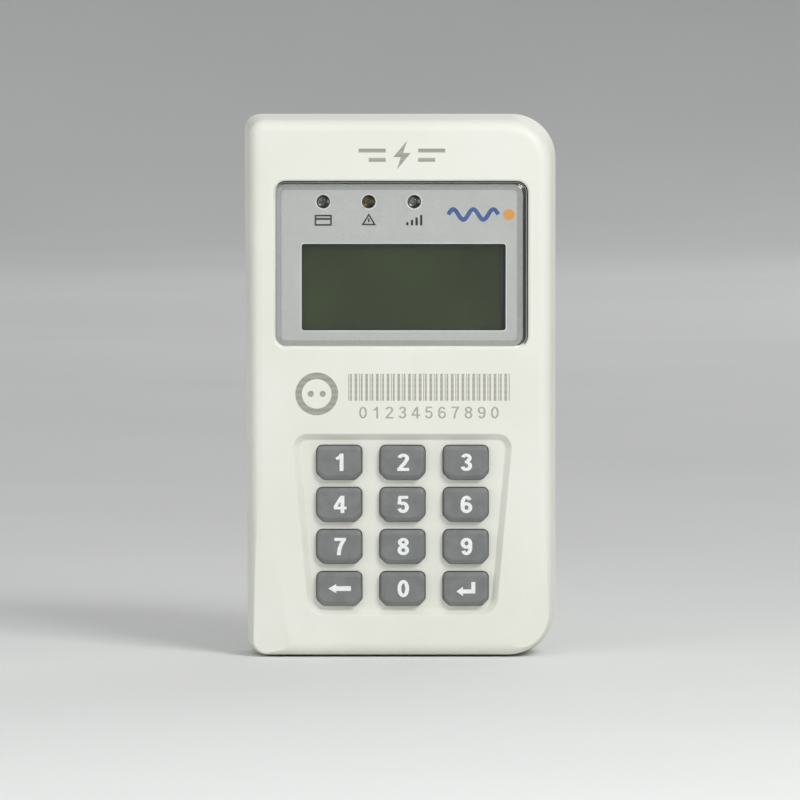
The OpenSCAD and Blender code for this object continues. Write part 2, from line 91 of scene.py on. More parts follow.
class Profile:
    """A path that a picked face follows: how far it is inset, and how far it has moved out."""

    def __init__(self) -> None:
        """Starts at the face's own place."""
        self.points: list[tuple[float, float]] = []
        self.inset = 0.0
        self.rise = 0.0

    def run(self, inset: float, rise: float) -> "Profile":
        """Adds a straight stretch.

        Args:
            inset: Change of inset, in mm.
            rise: Change of rise, in mm.

        Returns:
            The profile, so that calls can be chained.
        """
        self.inset += inset
        self.rise += rise
        self.points.append((self.inset, self.rise))
        return self

    def turn(self, radius: float, start: float, end: float, steps: int = 6) -> "Profile":
        """Adds a round stretch between two directions: 90 is straight out, 0 is straight in.

        Args:
            radius: Radius of the arc, in mm.
            start: Direction at the start, in degrees.
            end: Direction at the end, in degrees.
            steps: Number of straight pieces.

        Returns:
            The profile, so that calls can be chained.
        """
        sign = 1 if end > start else -1
        inset, rise, first = self.inset, self.rise, math.radians(start)
        for i in range(1, steps + 1):
            angle = math.radians(start + (end - start) * i / steps)
            self.inset = inset + sign * radius * (math.sin(angle) - math.sin(first))
            self.rise = rise + sign * radius * (math.cos(first) - math.cos(angle))
            self.points.append((self.inset, self.rise))
        return self


class Blank:
    """A mesh on the bench, shaped by picking its parts in code and using edit-mode tools."""

    def __init__(self, obj: bpy.types.Object) -> None:
        """Takes over an object that was just added, and sets its place in its mesh."""
        self.obj = obj
        self.only()
        bpy.ops.object.transform_apply(location=True, rotation=True, scale=True)

    @classmethod
    def block(cls, low: Sequence[float], high: Sequence[float]) -> "Blank":
        """Adds a box between two corners.

        Args:
            low: Lowest corner as (x, depth, z), in mm.
            high: Highest corner as (x, depth, z), in mm.

        Returns:
            The new blank.
        """
        a, b = place(*low), place(*high)
        clear_selection()
        bpy.ops.mesh.primitive_cube_add(size=1, location=(a + b) / 2, scale=b - a)
        return cls(bpy.context.object)

    @classmethod
    def rod(cls, start: Sequence[float], end: Sequence[float], radius: float,
            sides: int = 48, end_radius: float | None = None) -> "Blank":
        """Adds a round bar or a cone between two points.

        Args:
            start: One end's centre as (x, depth, z), in mm.
            end: The other end's centre.
            radius: Radius in mm.
            sides: Number of sides.
            end_radius: Radius at the other end, if it differs.

        Returns:
            The new blank.
        """
        a, b = place(*start), place(*end)
        turn = (b - a).to_track_quat("Z", "Y").to_euler()
        far = radius if end_radius is None else end_radius
        clear_selection()
        bpy.ops.mesh.primitive_cone_add(vertices=sides, radius1=radius * MM, radius2=far * MM,
                                        depth=(b - a).length, location=(a + b) / 2, rotation=turn)
        return cls(bpy.context.object)

    @classmethod
    def ball(cls, centre: Sequence[float], radius: float, sides: int = 32) -> "Blank":
        """Adds a sphere whose poles lie along the depth.

        Args:
            centre: Its centre as (x, depth, z), in mm.
            radius: Radius in mm.
            sides: Number of sides round it.

        Returns:
            The new blank.
        """
        clear_selection()
        bpy.ops.mesh.primitive_uv_sphere_add(segments=sides, ring_count=sides // 2,
                                             radius=radius * MM, location=place(*centre),
                                             rotation=(math.pi / 2, 0, 0))
        return cls(bpy.context.object)

    def only(self) -> None:
        """Makes this the only selected object, and the active one."""
        clear_selection()
        self.obj.select_set(True)
        bpy.context.view_layer.objects.active = self.obj

    def edit(self, kind: str) -> bmesh.types.BMesh:
        """Enters edit mode with nothing selected.

        Args:
            kind: "VERT", "EDGE" or "FACE".

        Returns:
            The edit mesh.
        """
        if self.obj.mode != "EDIT":
            self.only()
            bpy.ops.object.mode_set(mode="EDIT")
        bpy.ops.mesh.select_mode(type=kind)
        bpy.ops.mesh.select_all(action="DESELECT")
        return bmesh.from_edit_mesh(self.obj.data)

    def pick_points(self, test: Callable[[Vector], bool]) -> "Blank":
        """Selects points.

        Args:
            test: Says of a point's place in metres whether it is picked.

        Returns:
            The blank, so that calls can be chained.
        """
        mesh = self.edit("VERT")
        for vert in mesh.verts:
            vert.select_set(test(vert.co))
        mesh.select_flush(True)
        bmesh.update_edit_mesh(self.obj.data)
        return self

    def pick_edges(self, test: Callable[[Vector, Vector], bool]) -> "Blank":
        """Selects edges.

        Args:
            test: Says of an edge's middle and direction whether it is picked.

        Returns:
            The blank, so that calls can be chained.
        """
        mesh = self.edit("EDGE")
        for edge in mesh.edges:
            a, b = (v.co for v in edge.verts)
            edge.select_set(test((a + b) / 2, (b - a).normalized()))
        bmesh.update_edit_mesh(self.obj.data)
        return self

    def pick_faces(self, test: Callable[[Vector, Vector], bool]) -> "Blank":
        """Selects faces.

        Args:
            test: Says of a face's middle and normal whether it is picked.

        Returns:
            The blank, so that calls can be chained.
        """
        mesh = self.edit("FACE")
        for face in mesh.faces:
            face.select_set(test(face.calc_center_median(), face.normal))
        bmesh.update_edit_mesh(self.obj.data)
        return self

    def front(self) -> "Blank":
        """Selects the face that looks to the front."""
        edge = min(v.co.y for v in self.edit("FACE").verts)
        return self.pick_faces(lambda c, n: n.y < -0.99 and abs(c.y - edge) < 1e-6)

    def back(self) -> "Blank":
        """Selects the face that looks to the back."""
        edge = max(v.co.y for v in self.edit("FACE").verts)
        return self.pick_faces(lambda c, n: n.y > 0.99 and abs(c.y - edge) < 1e-6)

    def bevel(self, width: float, segments: int, profile: float = 0.5) -> "Blank":
        """Rounds the picked edges.

        Args:
            width: Width of the bevel in mm, which is its radius at a square edge.
            segments: Number of faces across it.
            profile: Its shape: 0.5 is round.

        Returns:
            The blank, so that calls can be chained.
        """
        bpy.ops.mesh.bevel(offset=width * MM, segments=segments, profile=profile,
                           affect="EDGES", clamp_overlap=False)
        return self

    def round_corners(self, radius: float, segments: int = 8,
                      test: Callable[[Vector], bool] = lambda c: True) -> "Blank":
        """Rounds the edges that run along the depth.

        Args:
            radius: Radius in mm.
            segments: Number of faces in each corner.
            test: Which edges, by their middle.

        Returns:
            The blank, so that calls can be chained.
        """
        return self.pick_edges(lambda c, d: abs(d.y) > 0.99 and test(c)).bevel(radius, segments)

    def walk(self, profile: Profile) -> "Blank":
        """Moves the picked face along a profile, leaving a wall behind it.

        Args:
            profile: The path, in mm.

        Returns:
            The blank, so that calls can be chained.
        """
        mesh = bmesh.from_edit_mesh(self.obj.data)
        normal = next(f.normal.copy() for f in mesh.faces if f.select)
        was_inset, was_rise = 0.0, 0.0
        for inset, rise in profile.points:
            if abs(inset - was_inset) < 1e-6:
                move = {"value": normal * (rise - was_rise) * MM}
                bpy.ops.mesh.extrude_region_move(TRANSFORM_OT_translate=move)
            else:
                bpy.ops.mesh.inset(thickness=(inset - was_inset) * MM,
                                   depth=(rise - was_rise) * MM, use_even_offset=True)
            was_inset, was_rise = inset, rise
        return self

    def shift(self, x: float = 0, depth: float = 0, z: float = 0) -> "Blank":
        """Moves what is picked, or the whole mesh outside edit mode, by millimetres."""
        if self.obj.mode != "EDIT":
            self.edit("VERT")
            bpy.ops.mesh.select_all(action="SELECT")
        bpy.ops.transform.translate(value=(x * MM, depth * MM, z * MM))
        return self

    def scale(self, x: float, depth: float, z: float, about: Vector) -> "Blank":
        """Resizes what is picked about a point.

        Args:
            x: Factor along X.
            depth: Factor along Y.
            z: Factor along Z.
            about: The point that stays, in metres.

        Returns:
            The blank, so that calls can be chained.
        """
        bpy.ops.transform.resize(value=(x, depth, z), center_override=about)
        return self

    def modify(self, kind: str, **settings: object) -> "Blank":
        """Adds a modifier, sets it and applies it.

        Args:
            kind: The modifier's type, such as "BOOLEAN".
            **settings: Its properties.

        Returns:
            The blank, so that calls can be chained.
        """
        self.only()
        modifier = self.obj.modifiers.new(kind.title(), kind)
        for name, value in settings.items():
            setattr(modifier, name, value)
        bpy.ops.object.modifier_apply(modifier=modifier.name)
        return self

    def join(self, *others: "Blank") -> "Blank":
        """Makes this and others that don't touch it one mesh."""
        self.only()
        for other in others:
            other.obj.select_set(True)
        bpy.ops.object.join()
        return self

    def combine(self, operation: str, *others: "Blank") -> "Blank":
        """Cuts, adds or intersects others, one after another, and removes them.

        Args:
            operation: "DIFFERENCE", "UNION" or "INTERSECT".
            *others: The other blanks.

        Returns:
            The blank, so that calls can be chained.
        """
        for other in others:
            other.only()
            self.modify("BOOLEAN", object=other.obj, operation=operation, solver="EXACT")
            bpy.data.objects.remove(other.obj)
        return self

    def cut(self, *tools: "Blank") -> "Blank":
        """Cuts tools out of this blank."""
        return self.combine("DIFFERENCE", *tools)

    def add(self, *parts: "Blank") -> "Blank":
        """Adds parts to this blank where they overlap it."""
        return self.combine("UNION", *parts)

    def copy(self) -> "Blank":
        """Gives a copy with a mesh of its own."""
        self.only()
        bpy.ops.object.duplicate()
        return Blank(bpy.context.object)

    def turn_over(self, x: float, depth: float, z: float) -> "Blank":
        """Turns the whole mesh upside down on an axis along the depth.

        Args:
            x: The axis's place along X in mm.
            depth: Depth of the centre.
            z: The axis's height.

        Returns:
            The blank, so that calls can be chained.
        """
        self.edit("VERT")
        bpy.ops.mesh.select_all(action="SELECT")
        bpy.ops.transform.rotate(value=math.pi, orient_axis="Y", orient_type="GLOBAL",
                                 center_override=place(x, depth, z))
        return self

    def smooth(self, angle: float = 32) -> "Blank":
        """Shades the mesh smooth except at sharp edges, and keeps its flat faces flat.

        Args:
            angle: Edges sharper than this stay sharp, in degrees.

        Returns:
            The blank, so that calls can be chained.
        """
        self.only()
        bpy.ops.object.shade_smooth_by_angle(angle=math.radians(angle))
        return self.modify("WEIGHTED_NORMAL", keep_sharp=True, weight=50)


Loop = list[tuple[float, float]]


def arc(x: float, z: float, wide: float, tall: float, start: float, end: float,
        steps: int = 20) -> Loop:
    """Gives points on an ellipse's arc.

    Args:
        x: Centre along X.
        z: Centre along Z.
        wide: Half width.
        tall: Half height.
        start: First angle in degrees; 0 points right and 90 points up.
        end: Last angle in degrees.
        steps: Number of straight pieces.

    Returns:
        The points.
    """
    angles = [math.radians(start + (end - start) * i / steps) for i in range(steps + 1)]
    return [(x + wide * math.cos(a), z + tall * math.sin(a)) for a in angles]


def stroke(points: Loop, wide: float, closed: bool = False) -> list[Loop]:
    """Gives the outline of a pen stroke of even width along a path.

    Args:
        points: The path.
        wide: Width of the stroke.
        closed: Whether the path is a ring. Its last point then differs from its first.

    Returns:
        One outline, or the two outlines of a ring.
    """
    left, right = [], []
    count = len(points)
    for i, (x, z) in enumerate(points):
        before = points[i - 1] if i or closed else points[i]
        after = points[(i + 1) % count] if i < count - 1 or closed else points[i]
        one = Vector((x - before[0], z - before[1])).normalized()
        two = Vector((after[0] - x, after[1] - z)).normalized()
        along = (one + two).normalized()
        lean = max(along.dot(one), along.dot(two), 0.5)
        side = Vector((-along.y, along.x)) * wide / 2 / lean
        left.append((x + side.x, z + side.y))
        right.append((x - side.x, z - side.y))
    return [left, right] if closed else [left + right[::-1]]


def round_path(low: tuple[float, float], high: tuple[float, float], radius: float) -> Loop:
    """Gives a rectangle's outline with round corners.

    Args:
        low: Lower left corner as (x, z).
        high: Upper right corner.
        radius: Radius of its corners.

    Returns:
        The outline.
    """
    (x0, z0), (x1, z1), r = low, high, radius
    return (arc(x1 - r, z0 + r, r, r, -90, 0, 8) + arc(x1 - r, z1 - r, r, r, 0, 90, 8)
            + arc(x0 + r, z1 - r, r, r, 90, 180, 8) + arc(x0 + r, z0 + r, r, r, 180, 270, 8))


def inked(shapes: Sequence[list[Loop]], centre: Sequence[float], ink: float,
          unit: float = 1.0) -> Blank:
    """Lays flat shapes of ink on a surface that faces the front.

    Args:
        shapes: Each shape's outlines. A second outline inside the first is a hole.
        centre: Where the shapes' origin lies, as (x, depth, z) in mm.
        ink: Thickness of the ink in mm.
        unit: Size in mm of one unit of the outlines.

    Returns:
        The ink.
    """
    made = []
    for loops in shapes:
        data = bpy.data.curves.new("ink", "CURVE")
        data.dimensions = "2D"
        data.fill_mode = "FRONT"
        for loop in loops:
            spline = data.splines.new("POLY")
            spline.points.add(len(loop) - 1)
            spline.use_cyclic_u = True
            for point, (x, z) in zip(spline.points, loop, strict=True):
                point.co = (x * unit * MM, z * unit * MM, 0, 1)
        obj = bpy.data.objects.new("ink", data)
        bpy.context.collection.objects.link(obj)
        clear_selection()
        obj.select_set(True)
        bpy.context.view_layer.objects.active = obj
        bpy.ops.object.convert(target="MESH")
        flat = bpy.context.object
        flat.rotation_euler = (math.pi / 2, 0, 0)
        flat.location = place(centre[0], centre[1] - ink, centre[2])
        shape = Blank(flat)
        made.append(shape.modify("SOLIDIFY", thickness=(ink + 0.02) * MM, offset=-1))
    first, *rest = made
    return first.add(*rest) if rest else first


def joined(blanks: Sequence[Blank]) -> Blank:
    """Joins several blanks into the first of them."""
    first, *rest = blanks
    return first.join(*rest) if rest else first


# ---- Finishes ------------------------------------------------------------------------------


def linear(colour: str) -> tuple[float, float, float, float]:
    """Turns an sRGB hex colour to linear values.

    Args:
        colour: Six hex digits.

    Returns:
        Red, green, blue and an alpha of 1.
    """
    parts = [int(colour[i:i + 2], 16) / 255 for i in (0, 2, 4)]
    parts = [c / 12.92 if c <= 0.04045 else ((c + 0.055) / 1.055) ** 2.4 for c in parts]
    return (*parts, 1.0)


def add_node(tree: bpy.types.NodeTree, kind: str, settings: dict[str | int, object] | None = None,
             links: dict[str | int, bpy.types.NodeSocket] | None = None) -> bpy.types.Node:
    """Adds a node with its settings and links.

    Args:
        tree: The material's node tree.
        kind: The node's type name after "ShaderNode".
        settings: Values by the name of an input or of a property.
        links: Source sockets by the name or the number of the input that they feed.

    Returns:
        The new node.
    """
    node = tree.nodes.new("ShaderNode" + kind)
    for name, value in (settings or {}).items():
        if isinstance(name, int) or name in node.inputs:
            node.inputs[name].default_value = value
        else:
            setattr(node, name, value)
    for name, source in (links or {}).items():
        tree.links.new(source, node.inputs[name])
    return node


def per_mm(size: float) -> float:
    """Gives the texture scale at which one cell of a pattern is so many millimetres."""
    return 1 / (size * MM)


@dataclass(frozen=True)
class Finish:
    """A plain finish: one colour with a slight mottle, and a roughness with a slight grain."""

    name: str
    colour: str
    second: str
    roughness: float = 0.5
    ior: float = 1.5
    metallic: float = 0.0
    grain: float = 0.4
    relief: float = 0.01
    mottle: float = 12.0

    def material(self) -> bpy.types.Material:
        """Gives the finish's material, made once."""
        found = bpy.data.materials.get(self.name)
        if found:
            return found
        made = bpy.data.materials.new(self.name)
        made.use_nodes = True
        tree = made.node_tree
        tree.nodes.clear()
        output = add_node(tree, "OutputMaterial")
        shader = add_node(tree, "BsdfPrincipled", {"Roughness": self.roughness})
        if self.metallic:
            shader.inputs["Metallic"].default_value = self.metallic
        else:
            shader.inputs["IOR"].default_value = self.ior
        tree.links.new(shader.outputs["BSDF"], output.inputs["Surface"])
        place_node = add_node(tree, "TexCoord")
        self.dress(tree, shader, place_node.outputs["Object"])
        return made

    def dress(self, tree: bpy.types.NodeTree, shader: bpy.types.Node,
              where: bpy.types.NodeSocket) -> None:
        """Adds the finish's patterns to its shader.

        Args:
            tree: The material's node tree.
            shader: The Principled shader.
            where: Object coordinates.
        """
        self.colour_with(tree, shader, self.cloud(tree, where, self.mottle), 0.35, 0.65)
        grain = self.cloud(tree, where, self.grain)
        self.roughen(tree, shader, grain, 0.06)
        self.raise_with(tree, shader, grain, self.relief)

    def cloud(self, tree: bpy.types.NodeTree, where: bpy.types.NodeSocket,
              size: float, detail: float = 3.0) -> bpy.types.NodeSocket:
        """Adds a cloudy pattern.

        Args:
            tree: The material's node tree.
            where: Object coordinates.
            size: Size of its cells in mm.
            detail: How many finer levels it has.

        Returns:
            Its grey value.
        """
        node = add_node(tree, "TexNoise", {"Scale": per_mm(size), "Detail": detail},
                        {"Vector": where})
        return node.outputs["Fac"]

    def spread(self, tree: bpy.types.NodeTree, value: bpy.types.NodeSocket, low: float,
               high: float, to_low: float, to_high: float) -> bpy.types.NodeSocket:
        """Maps a value from one range to another, and holds it there."""
        node = add_node(tree, "MapRange", {"From Min": low, "From Max": high,
                                           "To Min": to_low, "To Max": to_high},
                        {"Value": value})
        return node.outputs["Result"]

    def blend(self, tree: bpy.types.NodeTree, share: bpy.types.NodeSocket, first: str | object,
              second: str | object) -> bpy.types.NodeSocket:
        """Mixes two colours.

        Args:
            tree: The material's node tree.
            share: How much of the second, from 0 to 1.
            first: A hex colour or a colour socket.
            second: A hex colour or a colour socket.

        Returns:
            The mixed colour.
        """
        node = add_node(tree, "Mix", {"data_type": "RGBA"})
        tree.links.new(share, node.inputs[0])
        for socket, colour in ((node.inputs[6], first), (node.inputs[7], second)):
            if isinstance(colour, str):
                socket.default_value = linear(colour)
            else:
                tree.links.new(colour, socket)
        return node.outputs[2]

    def colour_with(self, tree: bpy.types.NodeTree, shader: bpy.types.Node,
                    value: bpy.types.NodeSocket, low: float, high: float) -> None:
        """Colours the shader from the first colour to the second as a value rises."""
        share = self.spread(tree, value, low, high, 0, 1)
        tree.links.new(self.blend(tree, share, self.colour, self.second),
                       shader.inputs["Base Color"])

    def roughen(self, tree: bpy.types.NodeTree, shader: bpy.types.Node,
                value: bpy.types.NodeSocket, amount: float) -> None:
        """Varies the shader's roughness about its own value."""
        low = max(self.roughness - amount, 0.02)
        tree.links.new(self.spread(tree, value, 0.3, 0.7, low, self.roughness + amount),
                       shader.inputs["Roughness"])

    def raise_with(self, tree: bpy.types.NodeTree, shader: bpy.types.Node,
                   value: bpy.types.NodeSocket, height: float, strength: float = 1.0) -> None:
        """Raises the surface with a value, by a height in mm."""
        node = add_node(tree, "Bump", {"Distance": height * MM, "Strength": strength},
                        {"Height": value})
        tree.links.new(node.outputs["Normal"], shader.inputs["Normal"])


@dataclass(frozen=True)
class SilverPrint(Finish):
    """Aluminium-flake ink: tiny flakes of slightly different brightness under the plate."""

    flake: float = 0.2

    def dress(self, tree: bpy.types.NodeTree, shader: bpy.types.Node,
              where: bpy.types.NodeSocket) -> None:
        """Adds flakes to the print.

        Args:
            tree: The material's node tree.
            shader: The Principled shader.
            where: Object coordinates.
        """
        flakes = add_node(tree, "TexVoronoi", {"Scale": per_mm(self.flake)}, {"Vector": where})
        bright = add_node(tree, "SeparateColor", {}, {"Color": flakes.outputs["Color"]})
        self.colour_with(tree, shader, bright.outputs["Red"], 0, 1)
        self.roughen(tree, shader, bright.outputs["Green"], 0.08)
        self.raise_with(tree, shader, bright.outputs["Blue"], 0.004)


@dataclass(frozen=True)
class Clear(Finish):
    """A clear or tinted solid that lets light through."""

    passes: float = 1.0

    def dress(self, tree: bpy.types.NodeTree, shader: bpy.types.Node,
              where: bpy.types.NodeSocket) -> None:
        """Makes the shader clear, with a faint waviness, and lets light through to
        what is behind it.

        Args:
            tree: The material's node tree.
            shader: The Principled shader.
            where: Object coordinates.
        """
        shader.inputs["Base Color"].default_value = linear(self.colour)
        shader.inputs["Transmission Weight"].default_value = self.passes
        self.raise_with(tree, shader, self.cloud(tree, where, self.grain, 1), self.relief)
        light = add_node(tree, "LightPath")
        open_air = add_node(tree, "BsdfTransparent", {"Color": linear(self.second)})
        either = add_node(tree, "MixShader", {}, {0: light.outputs["Is Shadow Ray"],
                                                  1: shader.outputs["BSDF"],
                                                  2: open_air.outputs["BSDF"]})
        output = tree.nodes["Material Output"]
        tree.links.new(either.outputs["Shader"], output.inputs["Surface"])


@dataclass(frozen=True)
class Display(Finish):
    """A reflective liquid crystal cell at rest: a dark, cloudy tint with fine specks."""

    def dress(self, tree: bpy.types.NodeTree, shader: bpy.types.Node,
              where: bpy.types.NodeSocket) -> None:
        """Adds the cloudy tint and the specks.

        Args:
            tree: The material's node tree.
            shader: The Principled shader.
            where: Object coordinates.
        """
        cloud = self.cloud(tree, where, self.mottle, 1)
        speck = self.cloud(tree, where, self.grain, 4)
        mixed = add_node(tree, "Math", {"operation": "MULTIPLY_ADD", 1: 0.35},
                         {0: speck, 2: cloud})
        self.colour_with(tree, shader, mixed.outputs[0], 0.4, 0.95)
        self.roughen(tree, shader, speck, 0.04)


@dataclass(frozen=True)
class Banded(Finish):
    """A sleeve or a strip whose colour changes in bands along one axis."""

    axis: str = "Z"
    centre: float = 0.0
    half: float = 10.0
    band: str = "C9A24B"

    def dress(self, tree: bpy.types.NodeTree, shader: bpy.types.Node,
              where: bpy.types.NodeSocket) -> None:
        """Adds one band about a centre on top of the plain mottle.

        Args:
            tree: The material's node tree.
            shader: The Principled shader.
            where: Object coordinates.
        """
        parts = add_node(tree, "SeparateXYZ", {}, {"Vector": where})
        from_centre = add_node(tree, "Math", {"operation": "SUBTRACT", 1: self.centre * MM},
                               {0: parts.outputs[self.axis]})
        far = add_node(tree, "Math", {"operation": "ABSOLUTE"}, {0: from_centre.outputs[0]})
        edge = self.half * MM
        inside = self.spread(tree, far.outputs[0], edge, edge + 0.0001, 1, 0)
        share = self.spread(tree, self.cloud(tree, where, self.mottle), 0.35, 0.65, 0, 1)
        base = self.blend(tree, share, self.colour, self.second)
        tree.links.new(self.blend(tree, inside, base, self.band), shader.inputs["Base Color"])
        self.raise_with(tree, shader, self.cloud(tree, where, self.grain), self.relief)


@dataclass(frozen=True)
class Stripes(Finish):
    """Thin layers side by side along X, as in a contact strip or in brushed metal."""

    pitch: float = 0.2
    direction: str = "X"

    def dress(self, tree: bpy.types.NodeTree, shader: bpy.types.Node,
              where: bpy.types.NodeSocket) -> None:
        """Adds the stripes as colour and as a slight relief.

        Args:
            tree: The material's node tree.
            shader: The Principled shader.
            where: Object coordinates.
        """
        wave = add_node(tree, "TexWave", {"Scale": per_mm(self.pitch) / 20, "Distortion": 0.4,
                                          "Detail": 2.0, "wave_type": "BANDS",
                                          "bands_direction": self.direction},
                        {"Vector": where})
        self.colour_with(tree, shader, wave.outputs["Fac"], 0.2, 0.8)
        self.roughen(tree, shader, self.cloud(tree, where, self.grain), 0.06)
        self.raise_with(tree, shader, wave.outputs["Fac"], self.relief)


@dataclass(frozen=True)
class BoardMask(Finish):
    """Solder mask over copper traces: lighter tracks in straight runs under a green lacquer."""

    track: float = 2.4

    def dress(self, tree: bpy.types.NodeTree, shader: bpy.types.Node,
              where: bpy.types.NodeSocket) -> None:
        """Adds the tracks under the lacquer.

        Args:
            tree: The material's node tree.
            shader: The Principled shader.
            where: Object coordinates.
        """
        turned = add_node(tree, "Mapping", {"Rotation": (math.pi / 2, 0, 0)}, {"Vector": where})
        tracks = add_node(tree, "TexBrick", {"Scale": per_mm(self.track) / 4, "Mortar Size": 0.06,
                                             "Color1": linear(self.colour),
                                             "Color2": linear(self.colour),
                                             "Mortar": linear(self.second)},
                          {"Vector": turned.outputs["Vector"]})
        tree.links.new(tracks.outputs["Color"], shader.inputs["Base Color"])
        self.raise_with(tree, shader, tracks.outputs["Fac"], 0.02)


# ABS, moulded in a spark-eroded tool: a warm white with a fine even grain and a soft sheen.
FRONT_ABS = Finish("abs_moulded_warm_white", "EBECE3", "E6E7DD", 0.48, 1.53,
                   grain=0.45, relief=0.006, mottle=30)
# The same ABS from a second tool, a shade darker.
REAR_ABS = Finish("abs_moulded_warm_white_rear", "E5E6DC", "DFE0D5", 0.52, 1.53,
                  grain=0.5, relief=0.008, mottle=30)
# Acrylic sheet, polished, with a cut and flame-polished bevel: clear and glossy.
ACRYLIC = Clear("acrylic_polished_clear", "FCFDFD", "FCFDFD", 0.02, 1.49,
                grain=18, relief=0.004)
# Screen-printed aluminium-flake ink: matt silver with a fine sparkle.
SILVER = SilverPrint("screen_print_silver_flake", "A7A8A4", "B3B4B0", 0.45, 1.5)
# The same ink, darker, in a ring under the plate's bevel: painted shade where the bevel looks darker.
SILVER_PAINTED_BEVEL_SHADE = SilverPrint("screen_print_silver_painted_bevel_shade", "8B8C89", "969793", 0.45, 1.5)
# White base ink that shows as a thin line round each opening.
WHITE_INK = Finish("screen_print_white_base", "D9DAD6", "CFD0CC", 0.45, grain=0.2,
                   relief=0.002)
# Printed sign inks: flat, slightly satin colours. The black one also draws the frame on the display
# glass, whose extra width above and at the right is painted shade.
BLACK_INK = Finish("screen_print_black", "1C1D1E", "232425", 0.45, grain=0.2, relief=0.002)
BLUE_INK = Finish("screen_print_blue", "2F4C86", "3A578F", 0.45, grain=0.2, relief=0.002)
ORANGE_INK = Finish("screen_print_orange", "C98A3C", "D0944A", 0.45, grain=0.2, relief=0.002)
# Laser marking on ABS: the plastic is foamed to a warm grey, in fine hatch lines.
LASER = Stripes("laser_mark_warm_grey", "A9A79C", "B3B1A6", 0.6, grain=0.3, relief=0.004,
                pitch=0.25, direction="Z")
LASER_DARK = Stripes("laser_mark_dark_grey", "9C9A90", "A8A69C", 0.6, grain=0.3, relief=0.004,
                     pitch=0.25, direction="Z")
# Silicone rubber, compression moulded: mid grey, dull, with a very fine matt grain.
SILICONE = Finish("silicone_moulded_grey", "767978", "7F8281", 0.42, 1.41,
                  grain=0.3, relief=0.008, mottle=3)
# White epoxy ink on silicone: thick and slightly uneven.
LEGEND_INK = Finish("legend_ink_white", "F4F6F5", "E9EBEA", 0.42, grain=0.4, relief=0.006,
                    mottle=0.8)
# A reflective display cell behind its front polariser: dark olive and glossy.
LCD = Display("display_cell_olive", "1F270F", "313B1E", 0.16, 1.52, grain=0.5, mottle=30)
# Closed-cell foam, die cut: black and dull.
FOAM = Finish("foam_die_cut_black", "0D0E0D", "141514", 0.9, 1.5, grain=0.25, relief=0.03)
# ABS, moulded and polished black.
BLACK_PLASTIC = Finish("abs_moulded_black", "161717", "1E1F1F", 0.4, 1.53)
# Lamp epoxy, cast: clear or tinted.
LAMP_CLEAR = Clear("epoxy_cast_clear", "A4A8A4", "C4C8C4", 0.05, 1.54, grain=3, relief=0.002)
LAMP_AMBER = Clear("epoxy_cast_amber", "8E7626", "C0A254", 0.05, 1.54, grain=3, relief=0.002)
# Silver-plated lead frame inside a lamp.
LEAD_FRAME = Finish("lead_frame_silver_plated", "D9D9D6", "BFC0BE", 0.25, metallic=1,
                    grain=0.2, relief=0.004)
# Steel, zinc plated: bright grey with a faint blue cast.
ZINC = Finish("steel_zinc_plated", "B4B8BA", "A3A8AB", 0.3, metallic=1, grain=0.25, relief=0.004)
# Spring steel, nickel plated: warm and bright.
NICKEL = Finish("steel_nickel_plated", "C9C6BE", "B7B4AC", 0.22, metallic=1, grain=0.3,
                relief=0.003)
# Tinned steel can, drawn, with fine lines along its length.
TINNED = Stripes("steel_tinned_drawn", "BDBFC0", "CDCFD0", 0.3, metallic=1, pitch=0.3)
# Copper wire, enamelled.
COPPER = Finish("copper_enamelled", "B06F3C", "A05F30", 0.3, metallic=1)
# Glass-epoxy board with green solder mask.
BOARD = BoardMask("board_green_solder_mask", "1F5A38", "3C7D4E", 0.3, 1.5)
# Moulded epoxy chip body.
CHIP = Finish("epoxy_moulded_chip", "1A1B1C", "222324", 0.55, grain=0.15, relief=0.01)
# Shrink sleeve of a cell: dark blue with a copper-coloured band at the nub's end.
CELL = Banded("pvc_sleeve_cell", "1F3A5C", "274468", 0.28, 1.5, centre=65.0, half=7.5,
              band="B5763A", grain=0.5, relief=0.003)
CELL_DOWN = Banded("pvc_sleeve_cell_turned", "1F3A5C", "274468", 0.28, 1.5, centre=29.5, half=7.5,
                   band="B5763A", grain=0.5, relief=0.003)
# Shrink sleeve with a pale polarity band.
CAPACITOR = Banded("pvc_sleeve_capacitor", "1B222B", "202833", 0.3, axis="X", centre=23.4,
                   half=0.9, band="9FA6AD")
# Layered contact rubber: conducting and insulating layers in turn.
CONTACT = Stripes("contact_rubber_layered", "20262B", "51606B", 0.7, pitch=0.4)
# Carbon-loaded silicone.
CARBON = Finish("silicone_carbon_loaded", "181818", "202020", 0.75)
# Frosted polycarbonate diffuser.
DIFFUSER = Finish("polycarbonate_frosted", "D4D8C6", "DDE0D0", 0.7, 1.58)
# Dark acrylic adhesive film. It also colours the strip of painted shade in the window's pocket gap.
GLUE = Finish("adhesive_film_dark", "1B1B1A", "232322", 0.5, 1.47)
# Pale matt floor of the studio.
FLOOR = Finish("studio_floor_pale", "ECEDEB", "E8E9E7", 0.8, grain=2, relief=0.02, mottle=300)


# ---- Pieces --------------------------------------------------------------------------------


def hand_over(blank: Blank, name: str, finish: Finish, body: str,
              replaces: Sequence[str] = (), angle: float = 32) -> bpy.types.Object:
    """Finishes a piece: names it, shades it, gives it its material and hands it to its body.

    Args:
        blank: The modelled piece.
        name: Its name.
        finish: Its finish.
        body: The CAD body that it moves with.
        replaces: The CAD nodes that it stands for.
        angle: Edges sharper than this stay sharp, in degrees.

    Returns:
        The finished object.
    """
    blank.smooth(angle)
    obj = blank.obj
    obj.name = name
    obj.data.name = name
    obj.data.materials.clear()
    obj.data.materials.append(finish.material())
    clear_selection()
    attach(obj, body)
    if replaces:
        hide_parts(*replaces)
    log.info("%s: %d faces, rides on %s", name, len(obj.data.polygons), body)
    return obj


